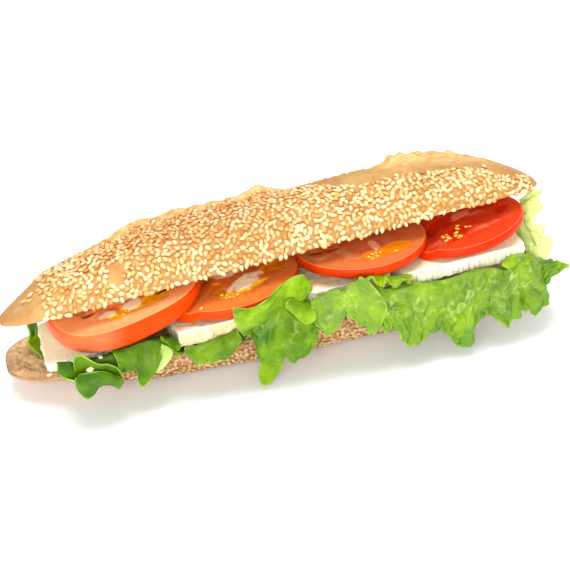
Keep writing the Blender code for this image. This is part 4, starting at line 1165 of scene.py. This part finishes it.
def make_tomatoes():
    """The four slices with skin, flesh, chambers, gel and seeds."""
    flesh = finish("tomato_flesh", 0.38, 0.08, 2.2, 0.10, 1.3, coat=0.02, subsurface=0.05,
                   radius=(1.0, 0.3, 0.1), specular=0.1)
    gloss = finish("tomato_seed", 0.28, 0.15, 0.8, 0.04, 0.5, coat=0.3, subsurface=0.1)
    draw = np.random.default_rng(PIP_DRAW)
    angle = np.linspace(0.0, 2.0 * math.pi, TOMATO_STEPS, endpoint=False)[None, :]
    spots = []
    for name, slice_ in TOMATOES.items():
        # Share of the way to the rim, then outwards (mm), and share of the depth
        profile = [(share, -0.3 * share, 0.0) for share in np.linspace(0.02, 1.0, 52)]
        profile += [(1.0, -0.05, 0.015), (1.0, 0.12, 0.05)]
        for turn in np.linspace(0.10, 0.95, 11):
            bulge = slice_["bulge"] * (1.0 - (2.0 * turn - 1.0) ** 2 * 0.7) - 0.15
            profile.append((1.0, bulge, turn))
        profile += [(share, -0.8, 1.0) for share in (1.0, *np.linspace(0.9, 0.05, 10))]
        share, out, depth = np.array(profile).T[:, :, None]
        x, y = tomato_place(slice_, angle, share, out)
        spot = xyz(x, y, 0.0)
        face = np.clip(1.0 - depth / 0.03, 0.0, 1.0) * ease((0.97 - share) / 0.05) * np.ones_like(x)
        mask = feature_masks(name, x, y, spot)
        wet = np.maximum(mask["gel"], mask["red"]) * (1.0 - mask["core"]) * face
        hollow = mask["hollow"] * face
        low = 0.7 * wet + 2.2 * hollow + 0.1 * face * np.abs(bumps(spot, 4.0, 3))
        low -= 0.25 * face * np.maximum(mask["core"], mask["pale"])
        z = tomato_face(name, x, y) - depth * tomato_depth(name, x) - low
        rings = xyz(x, y, z)
        tint = tomato_tint(name, x, spot, angle, share, depth, face, hollow, mask, rings)
        loft_piece(name, rings, flesh, tint)
        for along, across in PIPS[name]:
            x, y = in_plan(slice_, along, across)
            spots.append((x, y, float(tomato_face(name, x, y)) - 0.55))
    spots = np.array(spots)
    tones = mix(srgb((255, 206, 84)), srgb((244, 160, 24)), draw.uniform(0, 1, len(spots)))
    normals = np.tile((0.0, 0.0, 1.0), (len(spots), 1))
    seeds_piece("tomato_seeds", spots, normals, tones, gloss, draw, scale=0.8,
                tilt=0.25, sink=0.4)


def brie_tint(name, rings, rind, front, ribs):
    """Cream of a slab, and its rind where there is some."""
    mottle = bumps(rings, 3.4, 4, 6.0)
    slow = bumps(rings, 9.0, 2, 8.0)
    cream = mix(srgb((255, 254, 214)), srgb((255, 244, 180)), 0.4 + 0.6 * slow)
    if name in ("brie_2", "brie_3"):
        cream = mix(srgb((255, 250, 204)), srgb((246, 224, 160)), 0.5 + 0.7 * slow + 0.5 * mottle)
    if name == "brie_2":
        cream = mix(cream, srgb((222, 190, 128)), 0.55 * front)
    # Painted light: slabs 1 and 4 get a whiter paste, lifting them out of the shade they lie in.
    if name == "brie_1":
        cream = mix(cream, srgb((255, 255, 226)), 0.8)
    if name == "brie_4":
        cream = mix(cream, srgb((255, 255, 216)), 0.6)
    skin = mix(srgb((255, 255, 236)), srgb((232, 224, 180)), 0.2 + 0.9 * mottle)
    skin = mix(skin, srgb((230, 184, 124)), 0.5 * ease((slow - 0.25) * 3.0))
    tint = mix(cream, skin, np.clip(rind * (1.0 + 0.5 * mottle), 0.0, 1.0))
    # Painted shade: the rind is darker in the grooves between its ribs.
    return tint * (1.0 - 0.22 * np.clip(-ribs, 0.0, 1.0))[..., None]


def make_bries():
    """Four slabs of soft cheese with paste and rind."""
    paste = finish("brie_cheese", 0.48, 0.05, 3.0, 0.12, 1.2, coat=0.05, subsurface=0.35,
                   radius=(1.0, 0.8, 0.5))
    around = np.linspace(0.0, 4.0, BRIE_STEPS, endpoint=False)
    side = np.floor(around).astype(int)
    part = 2 * (around - side) - 1
    ones = np.ones_like(part)
    sides = [side == 0, side == 1, side == 2]
    square = np.stack([np.select(sides, [part, ones, -part], -1),
                       np.select(sides, [-ones, part, ones], -part)], axis=-1)
    square /= (np.abs(square) ** 14).sum(1, keepdims=True) ** (1.0 / 14.0)
    # Share of the way to the rim and share of the depth
    profile = [(share, 0.0) for share in np.linspace(0.02, 0.96, 26)]
    profile += [(0.985, 0.05), (0.997, 0.14), (1.0, 0.26)]
    profile += [(1.0, low) for low in np.linspace(0.34, 0.80, 8)]
    profile += [(0.995, 0.90), (0.98, 0.98)]
    profile += [(share, 1.0) for share in np.linspace(0.94, 0.05, 10)]
    scale, depth = np.array(profile).T[:, :, None]
    s, t = (0.5 + 0.5 * scale * square[None, :, k] for k in (0, 1))
    weights = ((1 - s) * (1 - t), s * (1 - t), s * t, (1 - s) * t)
    full = np.ones_like(s)
    on_side = (scale > 0.97) * (depth > 0.08) * (depth < 0.95) * full
    on_top = (depth <= 0.08) * full
    front = on_side * ease((0.06 - t) / 0.05)
    low_edge = (depth > 0.75) * (scale > 0.9) * ease((0.3 - t) / 0.2)
    for number, (name, slice_) in enumerate(BRIES.items()):
        x, y = (sum(w * corner[k] for w, corner in zip(weights, slice_["corners"])) for k in (0, 1))
        top = sum(w * height for w, height in zip(weights, slice_["tops"]))
        rings = xyz(x, y, top - depth * slice_["thickness"])
        crumbly = 1.0 if name == "brie_4" else 2.2
        rough = 0.4 * bumps(rings, 2.4, 4, number * 5.0) + 0.6 * bumps(rings, 6.0, 3, number)
        rough = crumbly * rough
        wave = np.sin(2.0 * math.pi * (x + 0.5 * bumps(rings, 5.0, 2)) / 2.7)
        ribs = slice_["ribs"] * front * (0.95 * wave * ease(depth * 2.0))
        push = on_side * 0.55 * rough + ribs - 0.35 * on_side
        rings[..., 0] += push * square[None, :, 0]
        rings[..., 1] += push * square[None, :, 1]
        rings[..., 2] += on_top * (0.28 * slice_["top"] + 0.06) * bumps(rings, 4.0, 4, 2.0) * 1.2
        rings[..., 2] -= on_top * 0.25
        rings[..., 2] += low_edge * 0.9 * crumbly * np.abs(bumps(rings, 4.0, 3, 4.0))
        rind = on_top * slice_["top"] + front * slice_["front"] + 0.4 * on_side * (1 - front)
        tint = brie_tint(name, rings, rind, front, ribs)
        loft_piece(name, rings, paste, tint)


def unit_normals(grid):
    """Unit normals of a grid of points."""
    along = np.gradient(grid, axis=1)
    down = np.gradient(grid, axis=0)
    normal = np.cross(along, down)
    return normal / np.maximum(np.linalg.norm(normal, axis=2, keepdims=True), 1e-9)


def station_points(sheet):
    """The stations of a sheet (station, point, xyz)."""
    table = np.array(sheet["stations"], float)
    if "deep" not in sheet:
        return table.reshape(-1, 3, 3)
    table = table.reshape(-1, 3, 2)
    return xyz(table[..., 0], sheet["deep"], table[..., 1])


def leaf_sheet(sheet, number):
    """Middle surface of a sheet, its tint and its thinness towards free edges."""
    stations = station_points(sheet)
    length = np.linalg.norm(np.diff(stations[:, 1], axis=0), axis=1).sum()
    step = sheet.get("step", LEAF_PITCH)
    columns = int(1.3 * length / step) + 10
    along = np.linspace(0.0, 1.0, columns)
    controls = [smooth_curves(stations[None, :, k], along)[0] for k in range(3)]
    free = sheet.get("free", False)
    if not free:
        if "root" in sheet:
            roots = np.array(sheet["root"], float)
        else:
            roots = stations[:, 0].copy()
            roots[:, 1] = sheet["root_y"]
            roots[:, 2] = bottom_cut(roots[:, 0]) + ROOT_LIFT
        root = smooth_curves(roots[None], along)[0]
        forward, upward = sheet.get("tuck", TUCK)
        under = root + (controls[0] - root) * (forward, forward, upward)
        controls = [root, under] + controls
    lines = np.stack(controls, axis=1)
    down = np.linalg.norm(np.diff(lines, axis=1), axis=2).sum(1).mean()
    rows = int(1.25 * down / step) + 12
    reach = np.linspace(0.0, 1.0, rows)[:, None] * np.ones((1, columns))
    shown = reach if free else np.clip(2.0 * reach - 1.0, 0.0, 1.0)
    line_spot = xyz(along * length, 0.0, 0.0)
    rounded = np.ones(columns)
    if not sheet.get("square", False):
        corner = np.clip((np.abs(2.0 * along - 1.0) - 0.8) / 0.2, 0.0, 1.0)
        rounded = 0.75 + 0.25 * np.sqrt(1.0 - corner**2)
    ragged = 2.2 * bumps(line_spot, 6.0, 2, number * 3.1) ** 2
    ragged = sheet["dent"] * (ragged + 0.5 * bumps(line_spot, 1.8, 2, 1.0) ** 2)
    places = reach * (1.0 - (1.0 - rounded * (1.0 - ragged))[None, :] * ease((shown - 0.2) / 0.7))
    grid = smooth_curves(lines, places.T).transpose(1, 0, 2)

    flat = xyz(along[None] * length, reach * down, 0.0)
    grow = shown**1.5
    tiny = np.clip((shown - 0.5) / 0.5, 0.0, 1.0) ** 2
    phase = 2.0 * math.pi * flat[..., 0] / sheet["pitch"]
    phase = phase + 2.4 * bumps(flat, 13.0, 2, number) + 1.5 * reach
    second = 2.7 * phase + 2.0 * bumps(flat, 6.0, 2, number + 3.0)
    swell = 1.5 * bumps(flat, 8.5, 2, number + 9.0)
    push = sheet["frill"] * (grow * (0.6 * np.sin(phase) + swell) + 0.35 * tiny * np.sin(second))
    slide = sheet["frill"] * (0.4 * grow * np.cos(phase) + 0.25 * tiny * np.cos(second))
    ends = np.minimum(along, 1.0 - along)[None] * length
    sideways = np.gradient(grid, axis=1)
    sideways /= np.maximum(np.linalg.norm(sideways, axis=2, keepdims=True), 1e-9)
    slide = slide * ease(ends / 5.0)
    grid = grid + push[..., None] * unit_normals(grid) + slide[..., None] * sideways

    gap = cell_gap(flat, 5.5, number * 2.3)
    blister = 1.3 * bumps(flat, 8.5, 2, number * 1.7) + 0.6 * (ease(1.5 * gap) - 0.5)
    show = ease(shown / 0.15) * ease((1.0 - shown) / 0.2 + 0.3)
    grid = grid + (show * sheet["blister"] * blister)[..., None] * unit_normals(grid)

    rim = (1.0 - shown) * down * (1.0 if free else 0.5)
    rim = np.minimum(rim, np.where(shown > 0.15, ends, 9.0))
    if sheet.get("rims", False):
        rim = np.minimum(rim, reach * down)
    light = ease((0.85 - rim) / 0.6)
    vein = np.exp(-((gap / 0.10) ** 2))
    cloud = bumps(grid, 12.0, 3, number)
    # Painted light and shade: raised blisters are lighter and the dips between them darker.
    tint = mix(srgb((136, 174, 6)), srgb((72, 116, 0)), 0.42 + 0.8 * cloud - 0.35 * blister)
    # Pale veins, and whitish streaks that are a painted sheen.
    lines = ease(1.0 - np.abs(bumps(flat, 8.0, 3, number + 5.0)) / 0.16)
    lines = lines * ease(0.45 + 2.0 * bumps(flat, 13.0, 2, number + 6.0))
    lines = lines * ease(sheet["blister"] - 0.1)
    low = ease((shown - 0.5) / 0.35) * ease((sheet["blister"] - 0.7) / 0.1)
    tint = mix(tint, srgb((200, 226, 124)), (0.08 * vein + 0.5 * lines) * (1.0 - 0.6 * low))
    tint = mix(tint, srgb((72, 128, 0)), 0.4 * low * (1.0 - light))
    # Painted shade: a sheet darkens away from its light rims, most on its inner part under the
    # filling.
    inner_shade = sheet.get("inner_shade", 0.0) * (1.0 - light) * (1.35 - 0.5 * shown)
    pale = sheet.get("pale", 0.0) * (0.7 + 0.4 * shown + 0.4 * cloud)
    tint = mix(tint, srgb((34, 80, 0)), inner_shade)
    tint = mix(tint, srgb((150, 188, 0)), sheet.get("bright", 0.0))
    tint = mix(tint, srgb((236, 250, 160)), pale)
    tint = mix(tint, srgb((172, 206, 62)), 0.7 * ease((0.5 - rim) / 0.45))
    return grid, tint, 1.0 - 0.6 * light


def leaf_mesh(grid, thin):
    """Points and faces of a thin closed sheet round a middle surface."""
    rows, columns, _ = grid.shape
    normal = unit_normals(grid) * (LEAF_THICKNESS / 2 * thin)[:, :, None]
    points = np.concatenate([(grid + normal).reshape(-1, 3), (grid - normal).reshape(-1, 3)])
    quads = grid_faces(rows, columns, False)
    size = rows * columns
    border = list(range(columns - 1))
    border += [row * columns + columns - 1 for row in range(rows - 1)]
    border += [(rows - 1) * columns + column for column in range(columns - 1, 0, -1)]
    border += [row * columns for row in range(rows - 1, 0, -1)]
    faces = quads.tolist() + (quads[:, ::-1] + size).tolist()
    for place, a in enumerate(border):
        b = border[(place + 1) % len(border)]
        faces.append((b, a, a + size, b + size))
    return points, faces


def make_leaves():
    """Thin frilly leaves with veins, blisters and light edges."""
    green = finish("lettuce_leaf", 0.34, 0.12, 3.0, 0.15, 1.2, coat=0.03, subsurface=0.04,
                   radius=(0.3, 1.0, 0.1), specular=0.16)
    number = 0
    for name, sheets in LEAVES.items():
        all_points, all_faces, all_tints = [], [], []
        start = 0
        for sheet in sheets:
            number += 1
            grid, tint, thin = leaf_sheet(sheet, number)
            points, faces = leaf_mesh(grid, thin)
            all_points.append(points)
            all_faces += [tuple(index + start for index in face) for face in faces]
            all_tints += [tint.reshape(-1, 3)] * 2
            start += len(points)
        points = np.concatenate(all_points)
        points[:, 2] = np.maximum(points[:, 2], LEAF_LOWEST)
        piece(name + "_fine", points, all_faces, green, [name],
              np.concatenate(all_tints), recalc=True)


def place_camera():
    """The camera that the loaf is seen from in the photograph."""
    azimuth, elevation, roll = (math.radians(value) for value in CAMERA_ANGLES)
    target = Vector(TARGET)
    level = math.cos(elevation)
    back = Vector((math.sin(azimuth) * level, -math.cos(azimuth) * level, math.sin(elevation)))
    side = (-back).cross(Vector((0.0, 0.0, 1.0))).normalized()
    over = side.cross(-back)
    right = math.cos(roll) * side - math.sin(roll) * over
    up = math.sin(roll) * side + math.cos(roll) * over
    eye = target + back * CAMERA_DISTANCE
    look = (target + AIM_RIGHT * right - AIM_DOWN * up - eye).normalized()
    right = look.cross(up).normalized()
    up = right.cross(look)
    camera = bpy.data.cameras.new("camera")
    camera.lens = FOCAL_PIXELS / PICTURE_PIXELS * SENSOR
    camera.sensor_width = SENSOR
    camera.clip_start = 0.01
    camera.clip_end = 20.0
    made = bpy.data.objects.new("camera", camera)
    made.matrix_world = Matrix((
        (right.x, up.x, -look.x, eye.x),
        (right.y, up.y, -look.y, eye.y),
        (right.z, up.z, -look.z, eye.z),
        (0.0, 0.0, 0.0, 1.0),
    ))
    bpy.context.scene.collection.objects.link(made)
    bpy.context.scene.camera = made


def make_stage():
    """Pale floor, soft studio light and the camera."""
    mesh = bpy.data.meshes.new("floor")
    far = FLOOR_REACH
    corners = [(-far, -far, 0), (far, -far, 0), (far, far, 0), (-far, far, 0)]
    mesh.from_pydata(corners, [], [(0, 1, 2, 3)])
    floor = bpy.data.objects.new("floor", mesh)
    pale = bpy.data.materials.new("floor_pale")
    pale.use_nodes = True
    shader = pale.node_tree.nodes["Principled BSDF"]
    white = (1.0, 1.0, 1.0, 1.0)
    for socket, value in (
        ("Base Color", white), ("Roughness", 0.7), ("Specular IOR Level", 0.2),
        ("Emission Color", white), ("Emission Strength", FLOOR_GLOW),
    ):
        shader.inputs[socket].default_value = value
    mesh.materials.append(pale)
    bpy.context.scene.collection.objects.link(floor)
    floor.location.z = -0.0002

    world = bpy.data.worlds.new("studio")
    world.use_nodes = True
    background = world.node_tree.nodes["Background"]
    background.inputs["Color"].default_value = white
    background.inputs["Strength"].default_value = WORLD_STRENGTH
    bpy.context.scene.world = world
    for name, place, size, power in LIGHTS:
        light = bpy.data.lights.new(name, "AREA")
        light.size = size
        light.energy = power
        lamp = bpy.data.objects.new(name, light)
        lamp.location = place
        aim = Vector(TARGET) - Vector(place)
        lamp.rotation_euler = aim.to_track_quat("-Z", "Y").to_euler()
        bpy.context.scene.collection.objects.link(lamp)
    place_camera()
    bpy.context.scene.view_settings.view_transform = "Standard"


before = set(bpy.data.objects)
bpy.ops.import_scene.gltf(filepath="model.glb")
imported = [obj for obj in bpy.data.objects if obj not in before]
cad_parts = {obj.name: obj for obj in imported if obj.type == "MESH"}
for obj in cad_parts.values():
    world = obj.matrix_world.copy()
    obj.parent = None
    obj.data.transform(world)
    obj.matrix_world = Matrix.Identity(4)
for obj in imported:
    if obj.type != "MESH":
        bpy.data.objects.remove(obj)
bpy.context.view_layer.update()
make_breads()
make_tomatoes()
make_bries()
make_leaves()
make_stage()
